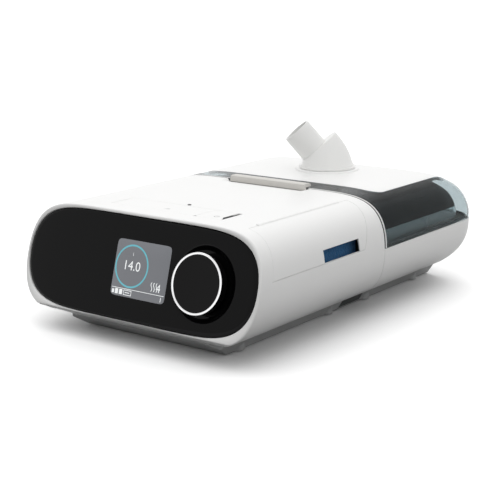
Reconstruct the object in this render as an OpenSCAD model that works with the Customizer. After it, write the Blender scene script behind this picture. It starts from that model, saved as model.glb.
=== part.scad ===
// Bilevel breathing-therapy machine with its heated humidifier and outlet elbow.
// X runs to the right seen from the front, Y to the back and Z up. The origin is on the table,
// under the middle of the machine's box. All sizes are in millimetres.

/* [Housings] */
// Width of both housings
body_w = 193; // [188:1:198]
// Height of the rounded housings, without the foot
body_h = 71; // [70:0.5:73]
// Height of the upright flank between the rounded edges
flank_h = 5; // [4:0.5:7]
// Wall of the moulded housings
wall = 2.4; // [2.2:0.1:2.8]
// Length of the front unit, from its lowest front edge to the seam
unit_l = 150.5; // [148:0.5:156]
// Length of the rear unit, from the seam to its back wall
humid_l = 143.5; // [142:0.5:150]
// Corner radius of the rear unit, seen from above
plan_r = 36; // [36:0.5:42]
// Gap between the two units at the seam
seam_gap = 0.4; // [0.3:0.1:0.6]
// Gap between neighbouring pieces that don't touch
fit_gap = 0.3; // [0.25:0.05:0.35]

/* [Foot] */
// Height of the housings' underside above the table
foot_h = 12.7; // [12:0.1:14]
// Width of the foot where it stands
foot_w = 116; // [112:1:120]
// How far each side of the foot leans out over its height
foot_flare = 8; // [6:0.5:9]
// Angle of the chin that rises from the foot to the front lip
chin_angle = 32.6; // [30:0.5:34]
// Height of the rubber feet's tips below the foot
foot_tip = 0.8; // [0.5:0.1:1.2]
// Radius of a rubber foot
pad_r = 7; // [6:0.5:8]

/* [Front] */
// Lean of the front panel away from the upright
face_lean = 16; // [14:0.5:18]
// Width of the white rim at each side of the glossy front panel
panel_rim = 3; // [3:0.25:5]
// Height of the glossy front panel along its slope
panel_h = 66; // [64:0.5:66]
// Corner radius of the front panel
panel_r = 31; // [29:0.5:31.5]
// Thickness of the front panel
panel_t = 3.6; // [3.2:0.1:4]
// Width of the screen
screen_w = 44.4; // [40:0.2:48]
// Height of the screen
screen_h = 36; // [34:0.5:38]
// Place of the screen's middle to the right of the panel's middle
screen_x = 4.3; // [2:0.1:6]
// Thickness of the screen's lens
lens_t = 1.5; // [1.2:0.1:1.8]

/* [Dial] */
// Radius of the dial
dial_r = 19; // [18:0.5:20]
// Place of the dial's middle to the right of the panel's middle
dial_x = 54; // [53:0.5:56]
// Place of the dial's middle above the panel's middle, along the slope
dial_up = -1; // [-2:0.1:0]
// How far the dial stands out of the panel
dial_out = 7; // [6:0.5:8]
// Radius of the dish round the dial
dish_r = 24.5; // [23:0.5:26]
// Depth of the dish round the dial
dish_depth = 2; // [1.8:0.1:2.2]
// Radius of the dial's stem
stem_r = 3; // [2.5:0.25:3.5]
// Travel of the dial when it is pressed
press_travel = 0.8; // [0.6:0.1:0.8]
// Radial running clearance of the turning pieces
run_gap = 0.05; // [0.03:0.01:0.08]

/* [Keys] */
// Left end of the keys
key_x0 = -41.5; // [-46:0.5:-38]
// Split between the two keys
key_split = 28.4; // [24:0.2:32]
// Right end of the keys
key_x1 = 53; // [50:0.5:56]
// Depth of the keys, front to back
key_depth = 22; // [20:0.5:24]
// Distance from the front lip to the keys' front gap
key_back = 31.5; // [30:0.5:34]
// Thickness of the keys
key_t = 2.2; // [2:0.1:2.4]

/* [Side door] */
// Height of the door's bottom edge above the middle of the housing
door_low = 5.4; // [4.5:0.1:6.5]
// Distance from the front lip to the door's front edge
door_front = 23.5; // [22:0.5:26]
// Length of the door along its bottom edge
door_l = 102; // [98:0.5:104]
// Thickness of the door
door_t = 2.2; // [2:0.1:2.4]
// Angle of the hinge line from the top of the rounded edge
hinge_turn = 16; // [14:0.5:18]
// Radius of the door's hinge barrel
barrel_r = 1.6; // [1.5:0.1:1.8]
// Radius of the door's hinge pin
door_pin_r = 0.8; // [0.7:0.05:0.9]
// Length of the air inlet in the door's bottom edge
inlet_l = 41; // [36:0.5:44]
// Height of the air inlet in the door's bottom edge
inlet_h = 8.3; // [7:0.1:9]

/* [Blower] */
// Outer radius of the blower's round case
blower_r = 27; // [25:0.5:28]
// Radius of the impeller
impeller_r = 22; // [20:0.5:22.5]
// Width of the blower's case along its axis
blower_w = 34; // [32:0.5:36]
// Number of impeller blades
blade_count = 9; // [7:1:11]
// Radius of the motor
motor_r = 17; // [15:0.5:18]
// Radius of the motor's shaft
shaft_r = 2; // [1.5:0.1:2.5]
// Outer radius of the air outlet
outlet_r = 9; // [8.5:0.25:9.5]

/* [Humidifier] */
// Wall of the see-through lid
lid_wall = 2.4; // [2.2:0.1:2.6]
// Thickness of the white top cover
cover_t = 1.3; // [1.1:0.1:1.4]
// Depth of the see-through strip in front of the white cover
strip_l = 22; // [20:0.5:24]
// Height of the lid's lower edge above the middle of the housing
part_up = 1.1; // [0.5:0.1:2]
// Width of the water tank
tank_w = 144; // [138:1:148]
// Corner radius of the water tank
tank_corner = 28; // [26:0.5:30]
// Wall of the water tank
tank_wall = 1.8; // [1.6:0.1:2.2]
// Thickness of the tank's metal floor
floor_plate_t = 1; // [0.8:0.1:1.2]
// Thickness of the heater plate
heater_t = 3; // [2.5:0.25:3.5]
// Radius of the lid's hinge barrel
lid_barrel_r = 2.9; // [2.7:0.1:3.1]
// Radius of the lid's hinge pin
lid_pin_r = 1.5; // [1.3:0.1:1.6]
// Width of the latch bar
latch_w = 66; // [60:1:70]
// How far the latch bar reaches over the front unit
latch_reach = 2.5; // [2:0.25:3.5]
// Height of the latch bar above the top
latch_h = 2.7; // [2.4:0.1:3.2]

/* [Elbow] */
// Place of the elbow's axis behind the seam
elbow_back = 75; // [72:0.5:78]
// Radius of the elbow's foot
elbow_r = 21; // [20:0.25:21.5]
// Outer radius of the hose connector
connector_r = 11; // [10.8:0.1:11.2]
// Wall of the hose connector
connector_wall = 1.7; // [1.4:0.1:2]
// Length of the hose connector in front of the elbow's slanted face
connector_l = 20; // [18:0.5:22]
// Rise of the hose connector above the level
connector_rise = 49; // [47:0.5:51]
// Turn of the elbow, seen from above, anticlockwise from the right
elbow_turn = 216; // [200:1:232]

/* [Hidden] */
$fn = 72;

big = 400;
eps = 0.01;
half_w = body_w / 2;
edge_r = (body_h - flank_h) / 2;
z_bot = foot_h;
z_mid = foot_h + body_h / 2;
z_top = foot_h + body_h;
z_floor = z_bot + wall;
z_part = z_mid + part_up;
lid_barrel_out = 0.1;
// The front panel's width and middle, and how far the dial stands out of the front lip
panel_w = body_w - 2 * panel_rim;
face_up = 1.3;
z_face = z_mid + face_up;
ring_drop = 0.75;
ring_thick = 1.5;
dial_ahead = (dial_out - ring_drop) * cos(face_lean) + (dial_r - ring_drop) * sin(face_lean)
  + ring_drop - (z_face - z_bot) * tan(face_lean) - dial_up * sin(face_lean);
total_l = dial_ahead + unit_l + humid_l + lid_barrel_out + lid_barrel_r;
y_front = -total_l / 2 + dial_ahead;
y_seam = y_front + unit_l;
y_fore = y_seam - seam_gap / 2;
y_aft = y_seam + seam_gap / 2;
y_rear = y_seam + humid_l;
y_plan = y_rear - plan_r;
// Middle of the upper rounded edge, in X and Z, and of the rear edge in Y
arc_x = half_w - edge_r;
arc_z = z_mid + flank_h / 2;
y_face = y_front + (z_face - z_bot) * tan(face_lean);
rim_depth = 6;
ring_depth = 1.2;
// The foot
foot_z0 = foot_tip;
y_chin = y_front + 27.5;
foot_rear_in = 15;
foot_rear_lean = 2;
foot_over = 9;
foot_corner = 20;
pad_sink = 1.6;
pad_y = [y_front + 46, y_seam - 16];
humid_pad_y = [y_seam + 42, y_rear - 32];
pad_x = foot_w / 2 - 16;
// Boards
board_t = 1.6;
display_t = 4;
board_z = foot_h + 5.3;
board_x = 50;
board_y0 = y_front + 31;
board_y1 = y_seam - 16;
tray_hole_x = 50;
boss_x = 57;
boss_y = [y_front + 40, y_seam - 12];
screw_r = 1.5;
screw_head_r = 3;
screw_head_t = 2;
boss_r = 4.5;
// Keys
key_y0 = y_front + key_back;
key_y1 = key_y0 + key_depth;
key_post_r = 2;
key_travel = 1;
key_board_z = z_top - 12;
key_mat_t = 2;
key_pivot_y = key_y1 - fit_gap - key_t / 2;
sensor_r = 1.2;
sensor_x = 4.4;
sensor_y = key_y1 + 5;
// Side door
door_z0 = z_mid + door_low;
door_y0 = y_front + door_front;
door_y1 = door_y0 + door_l;
door_rear_lean = 15;
hinge_in = barrel_r + 0.1;
door_hx = arc_x + (edge_r - hinge_in) * sin(hinge_turn);
door_hz = arc_z + (edge_r - hinge_in) * cos(hinge_turn);
leaf_turn = hinge_turn + 5.5;
// Distance from the hinge's axis to the far edge of the housing's slot
leaf_reach = 3.4;
barrel_y0 = door_y0 + 17;
barrel_y1 = door_y1 + 4;
lug_t = 4.7;
inlet_y0 = door_y1 - 47;
// Filter bay, air box and blower
bay_x1 = half_w - 8.5;
bay_x0 = bay_x1 - 24;
bay_y0 = inlet_y0 - 10;
bay_y1 = inlet_y0 + inlet_l + 9;
bay_z0 = z_mid - 10.2;
bay_z1 = z_mid + 16.8;
bay_wall = 2;
fine_t = 3.2;
pollen_t = 11.5;
air_x0 = 6;
air_y0 = bay_y0 - 2;
air_y1 = bay_y1 + 2;
air_z0 = board_z + board_t + 4.4;
air_z1 = bay_z1 + 1;
port_window_l = 44;
port_window_h = 16;
blower_y = y_seam - 64;
blower_z = z_mid + 0.8;
blower_x1 = -26;
blower_x0 = blower_x1 - blower_w;
blower_wall = 2;
blower_eye_r = 10;
bellows_wall = 2;
motor_l = 18;
outlet_x = -37;
outlet_z = blower_z + 14;
panel_back_t = 2.4;
outlet_wall = 2;
stub_front = 8;
stub_back = 4.5;
stub_collar_t = 1.2;
mount_r = 4;
mount_h = 3;
post_r = 3;
// Humidifier
bulk_t = 2.4;
bulk_drop = 1.2;
heater_z = z_floor + 2;
tank_z0 = heater_z + heater_t + 0.1;
tank_y0 = y_seam + 13;
tank_y1 = y_rear - 21.5;
tank_rim_z = z_part + 3;
tank_seal_t = 1.2;
tank_top_z = z_top - 11.5;
// Front end of the tank's air spout
spout_y = y_seam + 8;
heater_w = tank_w - 28;
heater_l = tank_y1 - tank_y0 - 25;
heater_y0 = tank_y0 + 13;
heater_corner = 16;
elbow_x = 0;
elbow_y = y_seam + elbow_back;
port_r = 14.1;
port_wall = 2.2;
port_flange_r = 24;
port_flange_up = 0.8;
elbow_z = z_top + port_flange_up + 0.2;
port_seal_t = 1.5;
spigot_r = port_r - run_gap;
spigot_wall = 2;
spigot_l = 6.5;
// The elbow in its own frame: its axis is Z, its connector leans towards +X
elbow_apex = 25;
elbow_cut_x = -3.8;
// The dome's side is an arc whose centre lies below the foot
dome_curve = 55;
dome_drop = 12;
elbow_skin = 2;
// The connector's axis meets the slanted face below the apex
connector_seat = 18.5;
connector_base = [
  elbow_cut_x + connector_seat * sin(connector_rise),
  elbow_apex - connector_seat * cos(connector_rise)
];
cover_side_drop = 2.3;
cover_x = arc_x + sqrt(pow(edge_r, 2) - pow(edge_r - cover_side_drop, 2));
cover_y0 = y_seam + strip_l;
cover_y1 = y_rear - edge_r + sqrt(pow(edge_r, 2) - pow(edge_r - cover_side_drop, 2));
cover_corner = 10;
lid_axis_y = y_rear + lid_barrel_out;
knuckle_mid = 11.7;
knuckle_end = 30;
latch_back = 6;
latch_pin_r = 1;
latch_barrel_r = 2;
latch_pin_y = y_seam + 6.5;
latch_pin_z = z_top - lid_wall - latch_barrel_r - 0.5;
latch_arm_y = [y_seam + 0.9, y_seam + 3.6];
latch_notch_y = y_seam + 6.3;
latch_barrel_x = latch_w / 2 - 4;
catch_y0 = y_seam + 1.2;
catch_l = 26.6;
catch_in = 46;
catch_travel = 2.5;
jack_x = -48;
jack_z = z_mid - 12.2;
jack_r = 7;
jack_bore_r = 3.2;
jack_l = 17;

// Shapes shared by several pieces

// A rectangle with round corners, centred
module rounded(w, h, r) {
  square([w - 2 * r, h], center = true);
  square([w, h - 2 * r], center = true);
  for (sx = [-1, 1], sz = [-1, 1])
    translate([sx * (w / 2 - r), sz * (h / 2 - r)]) circle(r);
}

// Cross-section of the housings, in X and Z, drawn in by an inset
module section(inset = 0) {
  translate([0, z_mid])
    rounded(body_w - 2 * inset, body_h - 2 * inset, edge_r - inset);
}

// A flat outline in X and Z made solid from y0 to y1
module along_y(y0, y1) {
  translate([0, y1, 0]) rotate([90, 0, 0]) linear_extrude(y1 - y0) children();
}

// A flat outline in Y and Z made solid from x0 to x1
module along_x(x0, x1) {
  translate([x0, 0, 0]) rotate([90, 0, 90]) linear_extrude(x1 - x0) children();
}

// Puts its children on the front panel's plane: X right, Y up the slope, Z outwards
module on_face(out = 0) {
  translate([0, y_face, z_face]) rotate([90 - face_lean, 0, 0])
    translate([0, 0, out]) children();
}

// Everything in front of the front panel's plane
module front_space() {
  translate([-big / 2, -big / 2, 0]) cube([big, big, big]);
}

// Everything below the slope of the chin
module chin_space() {
  translate([0, y_chin, 0]) rotate([-chin_angle, 0, 0])
    translate([-big / 2, -big, -big]) cube([big, 2 * big, big]);
}

// Outer form of the front unit
module unit_outer() {
  difference() {
    along_y(y_front - 1, y_fore) section();
    on_face() front_space();
    chin_space();
  }
}

// Hollow of the front unit, behind its rim
module unit_inner() {
  difference() {
    along_y(y_front - 1, y_seam + 1) section(wall);
    on_face(-rim_depth) front_space();
  }
}

// Outline of the front panel on its own plane
module panel_outline(grow = 0) {
  rounded(panel_w + 2 * grow, panel_h + 2 * grow, panel_r + grow);
}

// Half of the rear edge's profile: distance from the corner's middle, and Z
module tail_profile(inset = 0) {
  intersection() {
    translate([0, z_mid])
      rounded(2 * (plan_r - inset), body_h - 2 * inset, edge_r - inset);
    square([plan_r, big]);
  }
}

// Rear unit's form, from y0 to its rounded back, drawn in by an inset
module tail_form(inset = 0, y0 = y_seam) {
  corner_x = half_w - plan_r;
  along_y(y0, y_plan) section(inset);
  along_x(-corner_x, corner_x) translate([y_plan, 0]) tail_profile(inset);
  for (side = [0, 1])
    translate([(1 - 2 * side) * corner_x, y_plan, 0]) rotate([0, 0, 90 * side])
      rotate_extrude(angle = 90) tail_profile(inset);
}

// Everything above or below a level
module above(z) {
  translate([-big / 2, -big / 2, z]) cube([big, big, big]);
}
module below(z) {
  translate([-big / 2, -big / 2, z - big]) cube([big, big, big]);
}

// The foot's flared form from y0 to y1, drawn in by an inset
module foot_form(y0, y1, inset = 0, z1 = z_bot) {
  lean = foot_flare / z_bot;
  intersection() {
    along_y(y0, y1) polygon([
      [-foot_w / 2 + inset, 0], [foot_w / 2 - inset, 0],
      [foot_w / 2 - inset + lean * z1, z1], [-foot_w / 2 + inset - lean * z1, z1]
    ]);
    along_x(-big / 2, big / 2) polygon([
      [y_chin + inset, 0], [y_rear - foot_rear_in - inset, 0],
      [y_rear - foot_rear_in - inset + foot_rear_lean * z1 / z_bot, z1],
      [y_chin + inset - z1 / tan(chin_angle), z1]
    ]);
    translate([0, (y_chin + y_rear - foot_rear_in) / 2, 0])
      linear_extrude(z1)
        rounded(
          foot_w + 2 * lean * z1 - 2 * inset,
          y_rear - foot_rear_in - y_chin + 2 * z_bot / tan(chin_angle) - 2 * inset,
          foot_corner
        );
  }
}

// A rounded pad or cap, drawn by its outline in X and Y
module plate(w, l, r, t) {
  linear_extrude(t) rounded(w, l, r);
}

// A tube along Z
module tube(r_out, r_in, h) {
  difference() {
    cylinder(r = r_out, h = h);
    translate([0, 0, -1]) cylinder(r = r_in, h = h + 2);
  }
}

// Turns a piece drawn along Z so that it runs along X or along Y
module turned_x() { rotate([0, 90, 0]) children(); }
module turned_y() { rotate([-90, 0, 0]) children(); }

// Places of the screws and pads
module at_unit_bosses() {
  for (x = [-boss_x, boss_x], y = boss_y) translate([x, y, 0]) children();
}
module at_unit_pads() {
  for (x = [-pad_x, pad_x], y = pad_y) translate([x, y, 0]) children();
}
module at_humid_pads() {
  for (x = [-pad_x, pad_x], y = humid_pad_y) translate([x, y, 0]) children();
}
module at_humid_bosses() {
  for (x = [-boss_x, boss_x], y = [y_seam + 36, y_rear - 40])
    translate([x, y, 0]) children();
}
module at_board_posts() {
  for (x = [-board_x + 5, board_x - 5], y = [board_y0 + 5, board_y1 - 5])
    translate([x, y, 0]) children();
}
module at_air_box_posts() {
  for (x = [air_x0 + 8, board_x - 12], y = [air_y0 + 8, air_y1 - 8])
    translate([x, y, 0]) children();
}
module at_blower_posts() {
  for (x = [blower_x0 + 14, blower_x1 - 5], y = [blower_y - 14, blower_y + 14])
    translate([x, y, 0]) children();
}

// Front unit

// Leaf of the side door in X and Z: part of the housing's own rounded edge
module leaf_section(grow = 0) {
  a = leaf_turn - grow * 1.9;
  intersection() {
    difference() {
      section(-grow);
      section(door_t + grow);
    }
    polygon([
      [arc_x, arc_z], [arc_x + 2 * edge_r * sin(a), arc_z + 2 * edge_r * cos(a)],
      [arc_x + 2 * edge_r, arc_z + edge_r], [arc_x + 2 * edge_r, door_z0 - grow],
      [arc_x, door_z0 - grow]
    ]);
  }
}

// Outline of the door seen from its side, in Y and Z
module door_side(grow = 0) {
  rise = z_top - door_z0;
  polygon([
    [door_y0 - grow, door_z0 - 2], [door_y1 + grow, door_z0 - 2],
    [door_y1 + grow, door_z0], [door_y1 + door_rear_lean + grow, z_top],
    [door_y0 + rise * tan(face_lean) - 4.5 * grow, z_top], [door_y0 - grow, door_z0]
  ]);
}

// The hinge barrel and the web that joins it to the leaf
module door_barrel(grow = 0) {
  along_y(barrel_y0 - grow, barrel_y1 + grow) {
    translate([door_hx, door_hz]) circle(barrel_r + grow);
    intersection() {
      difference() {
        section(0.25 - grow);
        section(door_t + grow);
      }
      polygon([
        [door_hx, door_hz - 2 * barrel_r], [door_hx, z_top],
        [arc_x + 2 * edge_r * sin(leaf_turn + 3), z_top],
        [arc_x + edge_r * sin(leaf_turn + 3), arc_z + edge_r * cos(leaf_turn + 3) - 3]
      ]);
    }
  }
}

module main_housing() color("white") {
  difference() {
    unit_outer();
    unit_inner();
    on_face(-rim_depth - 1) linear_extrude(rim_depth + 2) panel_outline(fit_gap / 2);
    translate([-tray_hole_x, board_y0 - 6, z_bot - 1])
      cube([2 * tray_hole_x, board_y1 - board_y0 + 12, wall + 2]);
    translate([key_x0 - fit_gap, key_y0 - fit_gap, z_top - wall - 1])
      cube([key_x1 - key_x0 + 2 * fit_gap, key_depth + 2 * fit_gap, wall + 2]);
    translate([sensor_x, sensor_y, z_top - wall - 1])
      cylinder(r = sensor_r + run_gap, h = wall + 2);
    intersection() {
      along_y(y_front, y_seam) leaf_section(fit_gap);
      along_x(0, half_w + 1) door_side(fit_gap);
    }
    door_barrel(fit_gap);
    for (y = [barrel_y0 - fit_gap - lug_t, barrel_y1 + fit_gap])
      translate([door_hx, y - 1, door_hz]) turned_y()
        cylinder(r = door_pin_r + run_gap, h = lug_t + 2);
    at_unit_bosses() translate([0, 0, z_bot - 1]) cylinder(r = screw_r, h = wall + 2);
  }
  at_unit_bosses() translate([0, 0, z_floor - eps]) tube(boss_r, screw_r, 7);
  for (y = [barrel_y0 - fit_gap - lug_t, barrel_y1 + fit_gap]) difference() {
    intersection() {
      translate([door_hx - 2.6, y, door_hz - 2.4]) cube([4.6, lug_t, 6]);
      along_y(y - 1, y + lug_t + 1) section(0.3);
    }
    translate([door_hx, y - 1, door_hz]) turned_y()
      cylinder(r = door_pin_r + run_gap, h = lug_t + 2);
  }
  for (x = [key_x0 - 6, key_x1 + 2]) translate([x, key_y0, key_board_z])
    cube([4, key_depth, z_top - wall - key_board_z + eps]);
}

module base_tray() color("whitesmoke") {
  difference() {
    foot_form(y_front - 20, y_fore);
    below(foot_z0);
    translate([0, 0, foot_z0 + wall]) difference() {
      foot_form(y_front - 20, y_fore - wall, wall, z_bot);
      below(0);
    }
    at_unit_pads() cylinder(r = pad_r + run_gap, h = foot_z0 + pad_sink);
    at_unit_bosses() {
      cylinder(r = screw_r + run_gap, h = big);
      cylinder(r = screw_head_r + fit_gap, h = foot_z0 + wall + eps);
    }
  }
  difference() {
    union() {
      at_unit_bosses() translate([0, 0, foot_z0]) cylinder(r = boss_r, h = z_bot - foot_z0);
      at_unit_pads() translate([0, 0, foot_z0 + pad_sink])
        cylinder(r = pad_r + 1, h = wall);
    }
    at_unit_bosses() {
      cylinder(r = screw_r + run_gap, h = big);
      cylinder(r = screw_head_r + fit_gap, h = foot_z0 + wall);
    }
  }
  at_board_posts() translate([0, 0, foot_z0 + wall - eps])
    cylinder(r = post_r, h = board_z - foot_z0 - wall + eps);
  at_air_box_posts() translate([0, 0, foot_z0 + wall - eps])
    cylinder(r = post_r, h = air_z0 - foot_z0 - wall + eps);
  at_blower_posts() translate([0, 0, foot_z0 + wall - eps])
    cylinder(r = post_r, h = blower_seat_z() - mount_h - foot_z0 - wall + eps);
}

// Level of the flat base under the blower's round case
function blower_seat_z() = blower_z - blower_r + 1;

module front_panel() color("#0b0b0d") on_face() difference() {
  translate([0, 0, -panel_t]) linear_extrude(panel_t) panel_outline();
  translate([screen_x, 0, -panel_t - 1])
    plate(screen_w + 0.2, screen_h + 0.2, 2.6, panel_t + 2);
  translate([dial_x, dial_up, 0]) rotate_extrude() polygon([
    [0, 1], [dish_r + 1, 1], [dish_r, 0], [dial_r + 1.5, -dish_depth], [0, -dish_depth]
  ]);
  translate([dial_x, dial_up, -panel_t - 1]) cylinder(r = stem_r + 1, h = panel_t + 2);
}

module screen_lens() color("#30343a") on_face(-lens_t - 0.2) translate([screen_x, 0, 0])
  plate(screen_w, screen_h, 2.5, lens_t);

module display_module() color("#8a8f94") on_face(-panel_t - display_t)
  translate([screen_x, 0, 0]) plate(screen_w + 5, screen_h + 5, 1, display_t);

module display_board() color("darkgreen") on_face(-panel_t - display_t - board_t)
  translate([12, 0, 0]) plate(panel_w - 51, panel_h - 16, 2, board_t);

module encoder_body() color("dimgray") on_face(-panel_t - display_t)
  translate([dial_x, dial_up, 0]) difference() {
    translate([-8, -8, 0]) cube([16, 16, display_t - 1]);
    translate([0, 0, -1]) cylinder(r = stem_r + run_gap, h = display_t + 2);
  }

module encoder_stem() color("silver") on_face(-panel_t - display_t + 1)
  translate([dial_x, dial_up, 0]) cylinder(r = stem_r, h = panel_t + display_t - 1 + dial_out - 2.5);

module dial_knob() color("#101012") on_face() translate([dial_x, dial_up, 0]) {
  low = press_travel + fit_gap;
  difference() {
    union() {
      translate([0, 0, low])
        cylinder(r = dial_r - 0.6, h = dial_out - ring_drop - ring_depth - low);
      translate([0, 0, low])
        cylinder(r = dial_r - ring_thick - 0.1, h = dial_out - 0.4 - low);
    }
    translate([0, 0, low - 1])
      tube(dial_r - 2.6, stem_r + 3, dial_out - 2.5 - low);
    translate([0, 0, low - 1])
      cylinder(r = stem_r + run_gap, h = dial_out - 2.3 - low + 1);
  }
}

module dial_ring() color("gainsboro") on_face(dial_out - ring_drop)
  translate([dial_x, dial_up, 0]) rotate_extrude() translate([dial_r - ring_thick, 0]) {
    translate([0, -ring_depth]) square([ring_thick, ring_depth]);
    translate([ring_drop, 0]) circle(ring_drop);
  }

// A key hinged on its round back edge, from x0 to x1, with the post that works its switch
module key_shape(x0, x1, post_x) {
  translate([x0, key_y0, z_top - key_t]) cube([x1 - x0, key_pivot_y - key_y0, key_t]);
  translate([x0, key_pivot_y, z_top - key_t / 2]) turned_x()
    cylinder(r = key_t / 2, h = x1 - x0);
  translate([post_x, key_y0 + 5, key_board_z + key_mat_t + key_travel + fit_gap])
    cylinder(r = key_post_r, h = z_top - key_t - key_board_z - key_mat_t - key_travel);
}

module ramp_key() color("white")
  key_shape(key_x0, key_split - fit_gap / 2, (key_x0 + key_split) / 2);

module power_key() color("white")
  key_shape(key_split + fit_gap / 2, key_x1, (key_x1 + key_split) / 2);

module key_mat() color("lightgray") translate([key_x0, key_y0 + 1, key_board_z])
  cube([key_x1 - key_x0, key_depth - 8, key_mat_t]);

module key_board() color("darkgreen")
  translate([key_x0 - 6, key_y0 + 1, key_board_z - board_t])
    cube([key_x1 - key_x0 + 12, key_depth - 2, board_t]);

module light_sensor() color("#555555") translate([sensor_x, sensor_y, z_top - wall])
  cylinder(r = sensor_r, h = wall);

module filter_door() color("white") difference() {
  union() {
    difference() {
      intersection() {
        along_y(y_front, y_seam) leaf_section();
        along_x(0, half_w) door_side();
      }
      translate([door_hx, y_front, door_hz]) turned_y()
        cylinder(r = leaf_reach + fit_gap, h = unit_l);
    }
    door_barrel();
  }
  translate([door_hx, barrel_y0 - 1, door_hz]) turned_y()
    cylinder(r = door_pin_r + run_gap, h = barrel_y1 - barrel_y0 + 2);
  translate([half_w - 12, inlet_y0, door_z0 - 1]) cube([14, inlet_l, inlet_h + 1]);
}

module door_hinge_pin() color("silver")
  translate([door_hx, barrel_y0 - fit_gap - lug_t, door_hz]) turned_y()
    cylinder(r = door_pin_r, h = barrel_y1 - barrel_y0 + 2 * (fit_gap + lug_t));

module filter_bay() color("#3a3d40") {
  difference() {
    translate([bay_x0, bay_y0, bay_z0])
      cube([bay_x1 - bay_x0, bay_y1 - bay_y0, bay_z1 - bay_z0]);
    translate([bay_x0 + bay_wall, bay_y0 + bay_wall, bay_z0 + bay_wall])
      cube([big, bay_y1 - bay_y0 - 2 * bay_wall, bay_z1 - bay_z0 - 2 * bay_wall]);
    translate([bay_x0 - 1, (bay_y0 + bay_y1 - port_window_l) / 2, bay_z0 + 5])
      cube([bay_wall + 2, port_window_l, port_window_h]);
  }
  difference() {
    translate([bay_x0, bay_y0 - 28, z_mid + 4]) cube([20, 28 + eps, 6]);
    translate([bay_x0 + 2, bay_y0 - 26, z_mid + 5.8]) cube([big, 24, 2.4]);
  }
}

module pollen_filter() color("#1f6fb4")
  translate([bay_x1 - pollen_t + 0.5, bay_y0 + bay_wall + fit_gap, bay_z0 + bay_wall + fit_gap])
    cube([
      pollen_t, bay_y1 - bay_y0 - 2 * (bay_wall + fit_gap),
      bay_z1 - bay_z0 - 2 * (bay_wall + fit_gap)
    ]);

module fine_filter() color("white")
  translate([
    bay_x1 - pollen_t + 0.5 - fine_t - fit_gap, bay_y0 + bay_wall + fit_gap,
    bay_z0 + bay_wall + fit_gap
  ]) cube([
    fine_t, bay_y1 - bay_y0 - 2 * (bay_wall + fit_gap),
    bay_z1 - bay_z0 - 2 * (bay_wall + fit_gap)
  ]);

module memory_card() color("#262a33")
  translate([bay_x0 + 2.4, bay_y0 - 25.9, z_mid + 5.9]) cube([19, 23.8, 2.2]);

module air_box() color("#2d2f33") difference() {
  translate([air_x0, air_y0, air_z0])
    cube([bay_x0 - air_x0, air_y1 - air_y0, air_z1 - air_z0]);
  translate([air_x0 + bay_wall, air_y0 + bay_wall, air_z0 + bay_wall]) cube([
    bay_x0 - air_x0 - 2 * bay_wall, air_y1 - air_y0 - 2 * bay_wall,
    air_z1 - air_z0 - 2 * bay_wall
  ]);
  translate([bay_x0 - bay_wall - 1, (bay_y0 + bay_y1 - port_window_l) / 2, bay_z0 + 5])
    cube([bay_wall + 2, port_window_l, port_window_h]);
  translate([air_x0 - 1, blower_y, blower_z]) turned_x()
    cylinder(r = blower_eye_r + 2 * bellows_wall + 0.1, h = bay_wall + 2);
}

module inlet_bellows() color("#555a5e") translate([blower_x1 + 4, blower_y, blower_z])
  turned_x() {
    length = air_x0 + bay_wall - blower_x1 - 4;
    tube(blower_eye_r + 2 * bellows_wall, blower_eye_r + bellows_wall + 0.1, length);
    for (k = [1:3]) translate([0, 0, k * length / 5])
      tube(blower_eye_r + 2 * bellows_wall + 2, blower_eye_r + 2 * bellows_wall - 0.5, 2);
  }

// The blower's case, a drum with a tangential outlet and a flat base
module blower_case() color("#33363a") difference() {
  union() {
    translate([blower_x0, blower_y, blower_z]) turned_x()
      cylinder(r = blower_r, h = blower_w);
    translate([outlet_x, blower_y, outlet_z]) turned_y()
      cylinder(r = outlet_r, h = -blower_y + y_seam - 18);
    translate([blower_x0, blower_y - 18, blower_seat_z()])
      cube([blower_w, 36, blower_r - 14]);
  }
  translate([blower_x0 + blower_wall, blower_y, blower_z]) turned_x()
    cylinder(r = blower_r - blower_wall, h = blower_w);
  translate([outlet_x, blower_y, outlet_z]) turned_y()
    cylinder(r = outlet_r - outlet_wall, h = big / 2);
  translate([blower_x0 - 1, blower_y, blower_z]) turned_x()
    cylinder(r = shaft_r + 1, h = blower_wall + 2);
}

module blower_cover() color("#4a4e52") difference() {
  union() {
    translate([blower_x1, blower_y, blower_z]) turned_x() cylinder(r = blower_r, h = 2);
    translate([blower_x1, blower_y, blower_z]) turned_x()
      cylinder(r = blower_eye_r + bellows_wall, h = 10);
  }
  translate([blower_x1 - 1, blower_y, blower_z]) turned_x()
    cylinder(r = blower_eye_r, h = 12);
}

module blower_motor() color("silver") translate([blower_x0 - motor_l, blower_y, blower_z])
  turned_x() difference() {
    cylinder(r = motor_r, h = motor_l);
    translate([0, 0, -1]) cylinder(r = shaft_r + run_gap, h = motor_l + 2);
  }

module blower_mounts() color("#8d8f91") at_blower_posts()
  translate([0, 0, blower_seat_z() - mount_h]) {
    cylinder(r = mount_r, h = mount_h / 3);
    translate([0, 0, mount_h / 3]) cylinder(r = mount_r - 1, h = mount_h / 3);
    translate([0, 0, 2 * mount_h / 3]) cylinder(r = mount_r, h = mount_h / 3);
  }

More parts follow.
